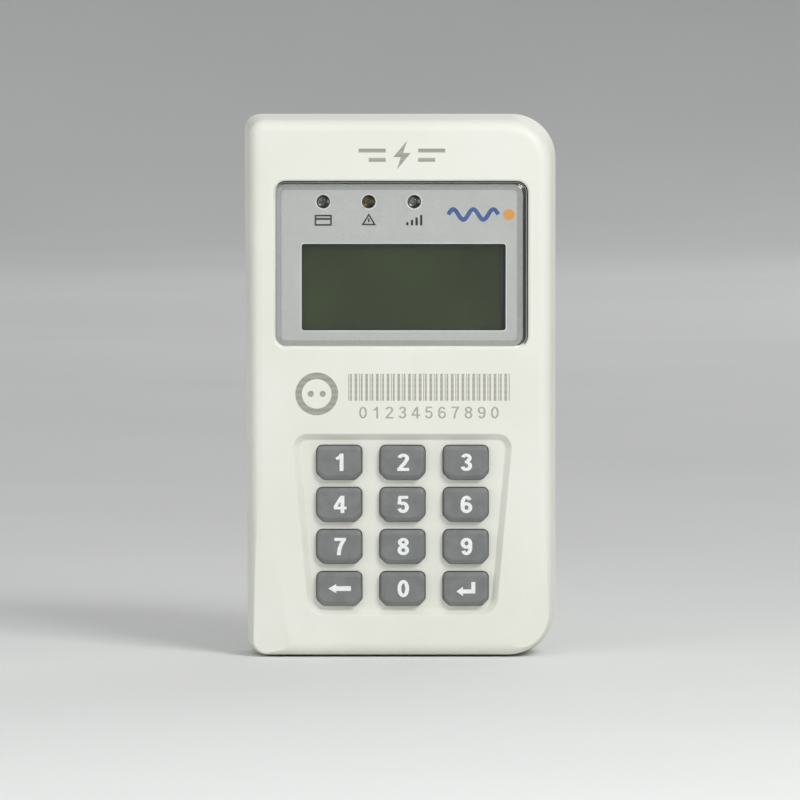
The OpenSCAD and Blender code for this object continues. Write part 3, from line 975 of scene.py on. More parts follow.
def screw_places(node: str, head_r: float) -> list[tuple[float, float]]:
    """Gives the centres of four screws that share a node.

    Args:
        node: The CAD node that holds them.
        head_r: Radius of a head, in mm.

    Returns:
        Four (x, z) pairs in mm.
    """
    low, high = mm_box(node)
    return [(x, z) for x in (low.x + head_r, high.x - head_r)
            for z in (low.z + head_r, high.z - head_r)]


@dataclass
class CaseForm:
    """The outline that both covers share: round at the right, tighter at the left."""

    left_r: float = 4.2
    right_r: float = 11.5
    slant: float = 0.8
    wall: float = 2.2
    seam: float = 0.22

    def blank(self, low: Vector, high: Vector, inset: float, base: float) -> Blank:
        """Models a straight block with the case's outline.

        Args:
            low: Lowest corner of the case as (x, depth, z), in mm.
            high: Highest corner of the case.
            inset: How far the outline is moved in at the sides and the top.
            base: How far it is moved up at the base.

        Returns:
            The block, with round corners.
        """
        block = Blank.block((low.x + inset, low.y, low.z + base),
                            (high.x - inset, high.y, high.z - inset))
        middle = (low.z + high.z) / 2 * MM
        block.pick_points(lambda c: c.x < 0 and c.z < middle).shift(x=self.slant)
        block.round_corners(max(self.right_r - inset, 1), 16, lambda c: c.x > 0)
        block.round_corners(max(self.left_r - inset, 0.8), 9, lambda c: c.x < 0)
        return block

    def lean(self, block: Blank, low: Vector, high: Vector, amount: float) -> Blank:
        """Draws the picked end face in at the sides and the top.

        Args:
            block: The block, with its end face picked.
            low: Lowest corner of the case in mm.
            high: Highest corner of the case.
            amount: How far each side and the top lean in.

        Returns:
            The block.
        """
        wide, tall = high.x - low.x, high.z - low.z
        return block.scale((wide - 2 * amount) / wide, 1, (tall - amount) / tall,
                           Vector((0, 0, low.z * MM)))

    def ease_seam(self, block: Blank, depth: float) -> Blank:
        """Chamfers the outer edge at the parting line, so that the covers meet in a groove."""
        seam = place(0, depth, 0).y
        return block.pick_edges(lambda c, d: abs(c.y - seam) < 1e-6).bevel(self.seam, 1)


@dataclass
class FrontCover:
    """The front half of the case, with the window pocket, the keypad hollow and the scoops."""

    form: CaseForm
    roll: float = 3.5
    draft: float = 1.2
    pocket_gap: float = 0.3
    pocket_r: float = 3.0
    pocket_rim: float = 0.7
    window_floor: float = 1.6
    hollow_top: float = 58.2
    hollow_base: float = 10.9
    hollow_top_half: float = 28.7
    hollow_base_half: float = 24.4
    hollow_r: float = 4.3
    hollow_depth: float = 1.6
    hollow_rim: float = 0.5
    key_gap: float = 0.15
    key_rim: float = 0.2
    lamp_hole_r: float = 1.8
    scoop_r: float = 34.5
    scoop_depth: float = 1.6
    scoop_top: float = 52.0
    scoop_half: float = 38.4
    post_r: float = 2.2
    boss_r: float = 3.2

    def build(self) -> None:
        """Models the cover and hands it over."""
        low, high = mm_box("front_cover")
        shell = self.shell(low, high)
        self.add_supports(shell, high.y)
        self.cut_window(shell)
        self.cut_hollow(shell)
        self.cut_screw_holes(shell, high.y)
        self.cut_scoops(shell)
        hand_over(shell, "front_cover_moulding", FRONT_ABS, CASE,
                  ["front_cover"], 24)

    def shell(self, low: Vector, high: Vector) -> Blank:
        """Models the rolled outer form and hollows it from behind.

        Args:
            low: Lowest corner of the cover in mm.
            high: Highest corner of the cover.

        Returns:
            The open shell.
        """
        flush = Vector((low.x, self.roll, low.z))
        outer = self.form.blank(flush, high, 0, 0).front()
        self.form.lean(outer, low, high, self.draft)
        outer.walk(Profile().turn(self.roll, 90, 0, 12))
        self.form.ease_seam(outer, high.y)
        inner_roll = 1.2
        start = Vector((low.x, self.form.wall + inner_roll, low.z))
        deep = Vector((high.x, high.y + 1, high.z))
        inner = self.form.blank(start, deep, self.form.wall, self.form.wall).front()
        self.form.lean(inner, low, high, self.draft)
        inner.walk(Profile().turn(inner_roll, 90, 0, 5))
        return outer.cut(inner)

    def add_supports(self, shell: Blank, parting: float) -> None:
        """Adds the pads behind the pocket and the hollow, the posts and the bosses.

        Args:
            shell: The cover so far.
            parting: Depth of the parting line in mm.
        """
        inside = self.form.wall - 0.7
        low, high = mm_box("window_plate")
        rest = mm_box("window_glue")[1].y + self.window_floor
        pad = Blank.block((low.x - 2.3, inside, low.z - 2.3), (high.x + 2.3, rest, high.z + 2.3))
        pad.round_corners(4.5)
        mat_low, mat_high = mm_box("keypad_mat")
        web = Blank.block((mat_low.x - 1, inside, self.hollow_base - 2),
                          (mat_high.x + 1, mat_low.y, mat_high.z + 1))
        web.round_corners(self.hollow_r)
        shell.add(pad, web)
        board = mm_box("main_board")[0].y
        for x, z in screw_places("board_screws", 1.9):
            shell.add(Blank.rod((x, inside, z), (x, board, z), self.post_r, 32))
        for x, z in screw_places("case_screws", 2.75):
            shell.add(Blank.rod((x, inside, z), (x, parting, z), self.boss_r, 40))

    def cut_window(self, shell: Blank) -> None:
        """Cuts the pocket of the window plate, the display opening and the lamp holes.

        Args:
            shell: The cover so far.
        """
        low, high = mm_box("window_plate")
        floor = mm_box("window_glue")[1].y
        grow = self.pocket_gap + self.pocket_rim
        pocket = Blank.block((low.x - grow, -1, low.z - grow), (high.x + grow, 0, high.z + grow))
        pocket.round_corners(self.pocket_r + self.pocket_rim, 10).back()
        pocket.walk(Profile().turn(self.pocket_rim, 0, 90, 5).run(0, floor - self.pocket_rim))
        low, high = mm_box("display_gasket")
        edge = 1.2
        opening = Blank.block((low.x + edge, floor - 0.5, low.z + edge),
                              (high.x - edge, floor + 3, high.z - edge))
        opening.round_corners(1.2, 5)
        shell.cut(pocket, opening)
        for name in LampRow.nodes:
            low, high = mm_box(name)
            x, z = (low.x + high.x) / 2, (low.z + high.z) / 2
            shell.cut(Blank.rod((x, floor - 0.5, z), (x, floor + 3, z), self.lamp_hole_r, 40))

    def cut_hollow(self, shell: Blank) -> None:
        """Cuts the keypad hollow, with a round rim and sloping walls, and the key holes.

        Args:
            shell: The cover so far.
        """
        middle = mm_box("key_2")
        x = (middle[0].x + middle[1].x) / 2
        rim = self.hollow_rim * math.tan(math.radians(22.5))
        top, base = self.hollow_top_half + rim, self.hollow_base_half + rim
        tool = Blank.block((x - top, -1, self.hollow_base - rim), (x + top, 0, self.hollow_top + rim))
        split = (self.hollow_base + self.hollow_top) / 2 * MM
        tool.pick_points(lambda c: c.z < split)
        tool.scale(base / top, 1, 1, Vector((x * MM, 0, 0)))
        tool.round_corners(self.hollow_r, 12).back()
        depth = self.hollow_depth
        turn = Profile().turn(self.hollow_rim, 0, 45, 4)
        foot = 0.6
        foot_rise = foot * (1 - math.cos(math.radians(45)))
        slope = depth - turn.rise - foot_rise
        turn.run(slope, slope).turn(foot, 45, 0, 4)
        shell.cut(tool.walk(turn))
        self.cut_key_holes(shell)

    def cut_key_holes(self, shell: Blank) -> None:
        """Cuts the key holes, with a small round rim.

        Args:
            shell: The cover so far.
        """
        rim, depth = self.key_rim, self.hollow_depth
        hole = key_block(KEY_NAMES[0], depth - 1, depth, self.key_gap + rim).back()
        hole.walk(Profile().turn(rim, 0, 90, 3).run(0, 3))
        first_x, first_z = Keypad.centre(KEY_NAMES[0])
        holes = [hole]
        for name in KEY_NAMES[1:]:
            x, z = Keypad.centre(name)
            holes.append(hole.copy().shift(x=x - first_x, z=z - first_z))
        shell.cut(joined(holes))

    def cut_screw_holes(self, shell: Blank, parting: float) -> None:
        """Bores the posts and the bosses.

        Args:
            shell: The cover so far.
            parting: Depth of the parting line in mm.
        """
        board = mm_box("main_board")[0].y
        tools = [Blank.rod((x, 2.8, z), (x, board + 1, z), 1.1, 24)
                 for x, z in screw_places("board_screws", 1.9)]
        tools += [Blank.rod((x, 4.5, z), (x, parting + 1, z), 1.5, 32)
                  for x, z in screw_places("case_screws", 2.75)]
        shell.cut(joined(tools))

    def cut_scoops(self, shell: Blank) -> None:
        """Cuts the finger scoops on both sides, which run out towards the top.

        Args:
            shell: The cover so far.
        """
        base = 5.0
        fall = self.scoop_depth / (self.scoop_top - base)
        for side in (-1, 1):
            x = side * (self.scoop_half + 0.8) + (0.8 if side > 0 else 0)
            ends = [(x, self.scoop_depth - self.scoop_r - fall * (z - base), z)
                    for z in (-20.0, 120.0)]
            shell.cut(Blank.rod(ends[0], ends[1], self.scoop_r, 256))


@dataclass
class RearCover:
    """The rear half of the case, with the battery bay, the screw bosses and the keyholes."""

    form: CaseForm
    roll: float = 2.0
    lean: float = 0.6
    back_wall: float = 2.0
    bay_half: float = 22.8
    bay_low: float = 17.5
    bay_high: float = 77.0
    bay_wall: float = 1.6
    bay_floor: float = 9.6
    boss_r: float = 4.6
    counterbore_r: float = 3.1
    counterbore_depth: float = 18.2
    keyhole_pitch: float = 50.0
    keyhole_z: float = 110.0
    keyhole_r: float = 4.25
    slot_r: float = 2.25
    slot_rise: float = 8.0

    def build(self) -> None:
        """Models the cover and hands it over."""
        low, high = mm_box("rear_cover")
        parting = mm_box("front_cover")[1].y
        shell = self.shell(Vector((low.x, parting, low.z)), high)
        self.add_bay(shell, parting, high.y)
        self.cut_bay(shell, high.y)
        self.cut_screw_holes(shell, parting, high.y)
        self.cut_keyholes(shell, high.y)
        hand_over(shell, "rear_cover_moulding", REAR_ABS, CASE,
                  ["rear_cover"], 24)

    def shell(self, low: Vector, high: Vector) -> Blank:
        """Models the outer form, hollows it from the front and adds the lip.

        Args:
            low: Lowest corner of the cover behind the parting line, in mm.
            high: Highest corner.

        Returns:
            The open shell.
        """
        wall = self.form.wall
        outer = self.form.blank(low, Vector((high.x, high.y - self.roll, high.z)), 0, 0).back()
        self.form.lean(outer, low, high, self.lean)
        outer.walk(Profile().turn(self.roll, 90, 0, 8))
        self.form.ease_seam(outer, low.y)
        inner_roll = 1.0
        start = Vector((low.x, low.y - 1, low.z))
        end = Vector((high.x, high.y - self.back_wall - inner_roll, high.z))
        inner = self.form.blank(start, end, wall + self.lean, wall).back()
        outer.cut(inner.walk(Profile().turn(inner_roll, 90, 0, 4)))
        step = 0.5
        lip_low = Vector((low.x, low.y - 1.5, low.z))
        lip_high = Vector((high.x, low.y + 1, high.z))
        lip = self.form.blank(lip_low, lip_high, wall + 0.4, wall + step + 0.4)
        lip_low.y -= 1
        lip_high.y += 1
        lip.cut(self.form.blank(lip_low, lip_high, wall + 1.4, wall + step + 1.4))
        return outer.add(lip)

    def add_bay(self, shell: Blank, parting: float, back: float) -> None:
        """Adds the bay's tub, the frame that the door closes on and the bosses.

        Args:
            shell: The cover so far.
            parting: Depth of the parting line in mm.
            back: Depth of the back face.
        """
        wall, inside = self.bay_wall, back - self.back_wall + 0.5
        half = self.bay_half + wall
        tub = Blank.block((-half, self.bay_floor, self.bay_low - wall),
                          (half, inside, self.bay_high + wall)).round_corners(1.5, 5)
        low, high = mm_box("battery_door")
        rest = Blank.block((-28.5, back - self.back_wall - 1.5, low.z - 2.6),
                           (28.5, inside, high.z + 2.6)).round_corners(2, 5)
        shell.add(tub, rest)
        for x, z in screw_places("case_screws", 2.75):
            shell.add(Blank.rod((x, parting, z), (x, inside, z), self.boss_r, 48))

    def cut_bay(self, shell: Blank, back: float) -> None:
        """Cuts the bay, the door's pocket, its hinge and finger notch, and the tail slots.

        Args:
            shell: The cover so far.
            back: Depth of the back face in mm.
        """
        low, high = mm_box("battery_door")
        floor = self.bay_floor + 1.4
        bay = Blank.block((-self.bay_half, floor, self.bay_low),
                          (self.bay_half, back + 1, self.bay_high)).round_corners(0.8, 4)
        rim, gap, half = 0.3, 0.3, BatteryDoor.width / 2
        pocket = Blank.block((-half - gap - rim, back, low.z - gap - rim),
                             (half + gap + rim, back + 1, high.z + gap + rim))
        pocket.round_corners(1.2 + rim, 5).front()
        pocket.walk(Profile().turn(rim, 0, 90, 3).run(0, self.back_wall - 0.1 - rim))
        axis_z, axis_depth = BatteryDoor.axis(low)
        reach = half + gap + 0.02
        groove = Blank.rod((-reach, axis_depth, axis_z), (reach, axis_depth, axis_z),
                           BatteryDoor.barrel_r + gap, 40)
        pin = half + BatteryDoor.pin_len + 0.2
        pins = Blank.rod((-pin, axis_depth, axis_z), (pin, axis_depth, axis_z),
                         BatteryDoor.pin_r + 0.08, 24)
        notch = Blank.block((-8, back, high.z - 2.5), (8, back + 1, high.z + 2.5))
        notch.round_corners(2, 6).front()
        notch.walk(Profile().turn(0.3, 0, 90, 3).run(0, 0.5).turn(0.4, 90, 0, 4))
        shell.cut(bay, pocket, groove, pins, notch)
        pitch, edge = 15.0, 0.9
        for x, z in ((-pitch, self.bay_high - edge), (pitch, self.bay_low + edge)):
            shell.cut(Blank.block((x - 1.8, self.bay_floor - 1, z - 0.6),
                                  (x + 1.8, floor + 1, z + 0.6)))

    def cut_screw_holes(self, shell: Blank, parting: float, back: float) -> None:
        """Bores the bosses and counterbores them from the back.

        Args:
            shell: The cover so far.
            parting: Depth of the parting line in mm.
            back: Depth of the back face.
        """
        places = screw_places("case_screws", 2.75)
        shell.cut(joined([Blank.rod((x, parting - 1, z), (x, self.counterbore_depth + 1, z),
                                    1.7, 24) for x, z in places]))
        rim = 0.3
        tools = []
        for x, z in places:
            tool = Blank.rod((x, back, z), (x, back + 1, z), self.counterbore_r + rim, 48).front()
            deep = back - self.counterbore_depth - rim
            tools.append(tool.walk(Profile().turn(rim, 0, 90, 3).run(0, deep)))
        shell.cut(joined(tools))

    def cut_keyholes(self, shell: Blank, back: float) -> None:
        """Cuts the two keyholes right through the back wall.

        Args:
            shell: The cover so far.
            back: Depth of the back face in mm.
        """
        near, far = back - self.back_wall - 1, back + 1
        for x in (-self.keyhole_pitch / 2, self.keyhole_pitch / 2):
            top = self.keyhole_z + self.slot_rise
            slot = Blank.block((x - self.slot_r, near, self.keyhole_z),
                               (x + self.slot_r, far, top + self.slot_r))
            slot.round_corners(self.slot_r - 0.01, 16, lambda c: c.z > top * MM)
            shell.cut(Blank.rod((x, near, self.keyhole_z), (x, far, self.keyhole_z),
                                self.keyhole_r, 48), slot)


@dataclass
class BatteryDoor:
    """The door of the battery bay, on two pins at its lower edge."""

    width: float = 52.0
    thick: float = 1.7
    barrel_r: float = 1.4
    pin_r: float = 0.75
    pin_len: float = 1.6
    grooves: int = 5
    groove_pitch: float = 2.2
    groove_half: float = 9.0
    groove_tall: float = 1.2
    groove_from_top: float = 7.0

    @classmethod
    def axis(cls, low: Vector) -> tuple[float, float]:
        """Gives the hinge axis's height and depth in mm, from the door's lowest corner."""
        return low.z + cls.barrel_r, low.y + cls.barrel_r

    def build(self) -> None:
        """Models the door and hands it over."""
        low, high = mm_box("battery_door")
        half = self.width / 2
        z, depth = self.axis(low)
        edge = 0.4
        plate = Blank.block((-half, high.y - self.thick, z), (half, high.y - edge, high.z))
        plate.round_corners(1, 6).back().walk(Profile().turn(edge, 90, 0, 4))
        barrel = Blank.rod((-half, depth, z), (half, depth, z), self.barrel_r, 40)
        reach = half + self.pin_len
        pins = Blank.rod((-reach, depth, z), (reach, depth, z), self.pin_r, 24)
        plate.add(barrel, pins)
        first = high.z - self.groove_from_top
        groove = Blank.block((-self.groove_half, high.y, first - self.groove_tall / 2),
                             (self.groove_half, high.y + 1, first + self.groove_tall / 2))
        groove.round_corners(0.55, 4).front()
        groove.walk(Profile().turn(0.15, 0, 90, 2).run(0, 0.2).turn(0.2, 90, 0, 3))
        others = [groove.copy().shift(z=-self.groove_pitch * i) for i in range(1, self.grooves)]
        plate.cut(joined([groove, *others]))
        hand_over(plate, "battery_door_moulding", REAR_ABS, "battery_door",
                  ["battery_door"], 24)


@dataclass
class Window:
    """The clear plate, the silver print behind it and the printed signs."""

    plate_r: float = 2.7
    bevel_wide: float = 1.35
    bevel_deep: float = 0.5
    brim: float = 2.0
    edge: float = 0.08
    ink: float = 0.03
    # width of the ring of painted shade under the plate's bevel
    bevel_shade_wide: float = 1.35
    rim: float = 0.22
    # The strip of painted shade in the pocket gap: its width and its gap to the plate.
    shade_wide: float = 0.26
    shade_gap: float = 0.02
    sign_gap: float = 4.8
    wave_x: float = 19.0
    dot_x: float = 28.2
    colour_z: float = 115.1

    def build(self) -> None:
        """Models the plate and dresses the layers behind it."""
        low, high = mm_box("window_plate")
        plate = Blank.block((low.x, low.y + self.bevel_deep + self.edge, low.z),
                            (high.x, high.y - 0.06, high.z))
        plate.round_corners(self.plate_r, 12).front()
        slope = math.degrees(math.atan2(self.bevel_deep, self.bevel_wide))
        path = Profile().turn(self.edge, 90, slope, 3)
        path.run(self.bevel_wide - self.edge, self.bevel_deep).turn(self.edge, slope, 0, 2)
        hand_over(plate.walk(path), "window_plate_acrylic", ACRYLIC, CASE,
                  ["window_plate"], 20)
        self.print_layers()
        self.paint_pocket_shade()
        self.mask()
        self.signs()

    def print_layers(self) -> None:
        """Prints a ring of darker silver under the plate's bevel, which is painted shade, and the white
        base ink round the openings.
        """
        low, high = mm_box("window_print")
        half = self.bevel_shade_wide / 2
        path = round_path((low.x + half, low.z + half), (high.x - half, high.z - half),
                          self.plate_r - 0.2 - half)
        # painted shade: a darker silver ring where the plate's bevel looks darker
        mark = inked([stroke(path, self.bevel_shade_wide, closed=True)], (0, low.y, 0), self.ink / 3)
        hand_over(mark, "window_print_painted_bevel_shade", SILVER_PAINTED_BEVEL_SHADE, CASE)
        rings = [stroke(self.opening(self.rim / 2), self.rim, closed=True)]
        for name in LampRow.nodes:
            box = mm_box(name)
            x, z = (box[0].x + box[1].x) / 2, (box[0].z + box[1].z) / 2
            reach = FrontCover.lamp_hole_r + self.rim / 2
            rings.append(stroke(arc(x, z, reach, reach, 0, 352.5, 47), self.rim, closed=True))
        marks = [inked([ring], (0, low.y, 0), self.ink / 3) for ring in rings]
        hand_over(joined(marks), "window_print_rings", WHITE_INK, CASE)

    def paint_pocket_shade(self) -> None:
        """Lays a dark strip in the gap above and at the right of the plate: painted shade where the
        pocket's walls shade the gap.
        """
        low, high = mm_box("window_plate")
        reach = self.shade_wide / 2 + self.shade_gap
        path = round_path((low.x - reach, low.z - reach), (high.x + reach, high.z + reach),
                          self.plate_r + reach)
        quarter = len(path) // 4
        # painted shade: a dark strip along the top and the right of the pocket gap only
        shade_strip = inked([stroke(path[quarter // 2:quarter * 3 - quarter // 2], self.shade_wide)],
                     (0, high.y, 0), self.shade_wide)
        hand_over(shade_strip, "window_pocket_painted_shade", GLUE, CASE)

    def opening(self, grow: float) -> Loop:
        """Gives the display opening's outline.

        Args:
            grow: How far it is larger all round, in mm.

        Returns:
            The outline.
        """
        low, high = mm_box("display_gasket")
        edge = self.brim - grow
        return round_path((low.x + edge, low.z + edge), (high.x - edge, high.z - edge),
                          0.7 + grow)

    def mask(self) -> None:
        """Prints a black frame on the display glass; its extra width above and at the right is painted
        shade from the recess walls.
        """
        low, high = mm_box("display_gasket")
        edge = self.brim
        outer = round_path((low.x + 0.3, low.z + 0.3), (high.x - 0.3, high.z - 0.3), 0.7)
        # the opening sits low and to the left, so the frame is wider above and at the right: painted
        # shade
        inner = round_path((low.x + edge + 0.35, low.z + edge + 0.25),
                           (high.x - edge - 1.15, high.z - edge - 0.85), 0.5)
        depth = mm_box("display_glass")[0].y
        mark = inked([[outer, inner]], (0, depth, 0), self.ink / 3)
        hand_over(mark, "display_frame_painted_shade", BLACK_INK, CASE)

    def signs(self) -> None:
        """Prints the lamps' pictograms and the coloured sign behind the plate."""
        depth = mm_box("window_print")[0].y
        card = [stroke([(-2, -1.2), (2, -1.2), (2, 1.2), (-2, 1.2)], 0.42, closed=True),
                stroke([(-2, 0.35), (2, 0.35)], 0.5)]
        warning = [stroke([(-1.55, -1.1), (1.55, -1.1), (0, 1.45)], 0.4, closed=True),
                   stroke([(0, -0.5), (0, 0.5)], 0.4)]
        signal = [stroke([(x, -1.35), (x, top)], 0.6)
                  for x, top in ((-1.8, -0.5), (-0.6, 0.1), (0.6, 0.7), (1.8, 1.35))]
        for name, shapes in zip(LampRow.nodes, (card, warning, signal), strict=True):
            box = mm_box(name)
            x, z = (box[0].x + box[1].x) / 2, (box[0].z + box[1].z) / 2
            mark = inked(shapes, (x, depth, z - self.sign_gap), self.ink)
            hand_over(mark, "sign_" + name, BLACK_INK, CASE)
        wave = [(0.22 * i, 1.35 * math.sin(0.22 * i * math.pi / 2.6)) for i in range(60)]
        wave = [(x - 6.5, z) for x, z in wave]
        mark = inked([stroke(wave, 1.1)], (self.wave_x, depth, self.colour_z), self.ink)
        hand_over(mark, "sign_wave", BLUE_INK, CASE)
        mark = inked([[arc(0, 0, 1.45, 1.45, 0, 345, 23)]], (self.dot_x, depth, self.colour_z), self.ink)
        hand_over(mark, "sign_dot", ORANGE_INK, CASE)


@dataclass
class LampRow:
    """Three indicator lamps behind their holes."""

    nodes = ("lamp_left", "lamp_middle", "lamp_right")
    lens_r: float = 1.5
    flange_r: float = 1.9
    holder_r: float = 1.77

    def build(self) -> None:
        """Models one lamp, copies it and hands the three over."""
        low, high = mm_box(self.nodes[0])
        x, z = (low.x + high.x) / 2, (low.z + high.z) / 2
        lens, frame_inside = self.lens(x, z, low.y, high.y), self.lead_frame(x, z, low.y, high.y)
        holder = Blank.rod((x, low.y + 0.5, z), (x, high.y - 1.1, z), self.holder_r, 40)
        holder.cut(Blank.rod((x, low.y, z), (x, high.y, z), self.lens_r + 0.03, 40))
        for name, finish in zip(self.nodes, (LAMP_CLEAR, LAMP_AMBER, LAMP_CLEAR), strict=True):
            low, high = mm_box(name)
            along = (low.x + high.x) / 2 - x
            hand_over(lens.copy().shift(x=along), name + "_lens", finish, CASE, [name])
            hand_over(frame_inside.copy().shift(x=along), name + "_lead_frame", LEAD_FRAME,
                      CASE)
            hand_over(holder.copy().shift(x=along), name + "_holder", BLACK_PLASTIC, CASE)
        for blank in (lens, frame_inside, holder):
            bpy.data.objects.remove(blank.obj)

    def lens(self, x: float, z: float, near: float, far: float) -> Blank:
        """Models a lamp's domed lens and its flange.

        Args:
            x: The lamp's centre along X in mm.
            z: Its height.
            near: Depth of the lens's tip.
            far: Depth of the lamp's back.

        Returns:
            The lens.
        """
        lens = Blank.rod((x, near + self.lens_r, z), (x, far, z), self.lens_r, 40)
        lens.front().walk(Profile().turn(self.lens_r - 0.02, 90, 4, 12))
        return lens.add(Blank.rod((x, far - 1, z), (x, far, z), self.flange_r, 40))

    def lead_frame(self, x: float, z: float, near: float, far: float) -> Blank:
        """Models the reflector cup and the post inside a lamp.

        Args:
            x: The lamp's centre along X in mm.
            z: Its height.
            near: Depth of the lens's tip.
            far: Depth of the lamp's back.

        Returns:
            The cup and the post.
        """
        cup = Blank.rod((x - 0.35, near + 1.9, z), (x - 0.35, far - 0.2, z), 0.62, 24)
        cup.front().walk(Profile().run(0.12, 0).run(0.2, -0.45))
        post = Blank.block((x + 0.45, near + 2.1, z - 0.22), (x + 0.85, far - 0.2, z + 0.22))
        return cup.join(post)


class Legend(Enum):
    """What is printed on a key."""

    DIGIT = "digit"
    BACK = "back"
    ENTER = "enter"


def key_block(name: str, near: float, far: float, grow: float = 0.0) -> Blank:
    """Models a straight block with a key's outline: round corners above, cut ones below.

    Args:
        name: The key's name, without "key_".
        near: Depth of its front in mm.
        far: Depth of its back.
        grow: How far it is larger than the key all round.

    Returns:
        The block.
    """
    low, high = mm_box("key_" + name)
    x, z = (low.x + high.x) / 2, (low.z + high.z) / 2
    half = Keypad.width / 2 + grow
    block = Blank.block((x - half, near, low.z - grow), (x + half, far, high.z + grow))
    block.round_corners(Keypad.top_r + grow, 6, lambda c: c.z > z * MM)
    block.round_corners(Keypad.foot_cut + grow / 2, 1, lambda c: c.z < z * MM)
    foot = (low.z - grow + 0.01) * MM
    block.round_corners(0.55, 3, lambda c: c.z < z * MM and (c.z < foot or
                                                            abs(c.x - x * MM) > (half - 0.01) * MM))
    return block


@dataclass
class Keypad:
    """Twelve rubber keys with printed legends."""

    width: float = 11.6
    top_r: float = 1.4
    foot_cut: float = 1.7
    slope: float = 59.0
    slope_in: float = 0.34
    slope_out: float = 0.56
    face_tall: float = 0.85
    edge: float = 0.18
    crown: float = 0.3
    crown_slope: float = 35.0
    nub_proud: float = 0.19
    nub_r: float = 0.8
    nub_x: float = 3.6
    nub_z: float = 0.8
    ink: float = 0.03
    digit_tall: float = 4.5
    ear_depth: float = 3.9
    ear_half: float = 3.0

    def build(self) -> None:
        """Models every key with its legend."""
        self.face = mm_box("key_1")[0].y + self.ink
        first = KEY_NAMES[0]
        first_x, first_z = self.centre(first)
        caps = {first: self.cap()}
        for name in KEY_NAMES[1:]:
            x, z = self.centre(name)
            caps[name] = caps[first].copy().shift(x=x - first_x, z=z - first_z)
        x, z = self.centre("5")
        nub_depth = self.face - self.nub_proud + self.nub_r
        caps["5"].add(Blank.ball((x + self.nub_x, nub_depth, z + self.nub_z), self.nub_r, 48))
        for name, cap in caps.items():
            node = "key_" + name
            hand_over(cap, node + "_cap", SILICONE, node, [node], 18)
            x, z = self.centre(name)
            self.legend(name, x + 0.2, z + 0.12)

    @staticmethod
    def centre(name: str) -> tuple[float, float]:
        """Gives a key's centre along X and its height, in mm."""
        low, high = mm_box("key_" + name)
        return (low.x + high.x) / 2, (low.z + high.z) / 2

    def cap(self) -> Blank:
        """Models the first key's cap with its ears and plunger, which the others copy.

        Returns:
            The cap.
        """
        name = KEY_NAMES[0]
        low, high = mm_box("key_" + name)
        x, z = self.centre(name)
        path = Profile().turn(self.edge, 90, self.slope, 3).run(self.slope_in, self.slope_out)
        top = Profile().turn(self.crown, self.crown_slope, 0, 3)
        near = self.face + path.rise + top.rise
        cap = key_block(name, near, self.ear_depth + 0.8).front()
        cap.walk(path).scale(1, 1, self.face_tall, Vector((x, 0, z + 0.05)) * MM).walk(top)
        ears = Blank.block((low.x, self.ear_depth, z - self.ear_half),
                           (high.x, self.ear_depth + 0.8, z + self.ear_half))
        plunger = Blank.block((x - 4, self.ear_depth, z - 2.5), (x + 4, high.y, z + 2.5))
        return cap.add(ears.round_corners(0.6, 4), plunger.round_corners(0.8, 4))

    def legend(self, name: str, x: float, z: float) -> None:
        """Prints a key's legend on its top.

        Args:
            name: The key's name.
            x: Centre of the legend along X in mm.
            z: Height of its centre.
        """
        kind = Legend(name) if name in ("back", "enter") else Legend.DIGIT
        if kind is Legend.DIGIT:
            base = (x, self.face, z - self.digit_tall / 2)
            mark = inked(digit_shapes(int(name), 0.18, 1.24), base, self.ink, self.digit_tall)
        else:
            shape = self.back_arrow() if kind is Legend.BACK else self.enter_arrow()
            mark = inked([[shape]], (x - 0.15, self.face, z), self.ink)
        hand_over(mark, f"key_{name}_legend", LEGEND_INK, "key_" + name)

    def back_arrow(self) -> Loop:
        """Gives the outline of an arrow that points left, in mm."""
        return [(-2.95, 0), (-0.85, 1.2), (-0.85, 0.62), (2.95, 0.62), (2.95, -0.62),
                (-0.85, -0.62), (-0.85, -1.2)]

    def enter_arrow(self) -> Loop:
        """Gives the outline of an arrow that comes down and turns left, in mm."""
        return [(-2.45, -0.75), (-0.75, 0.5), (-0.75, -0.22), (1.4, -0.22), (1.4, 1.7),
                (2.45, 1.7), (2.45, -1.28), (-0.75, -1.28), (-0.75, -2.0)]


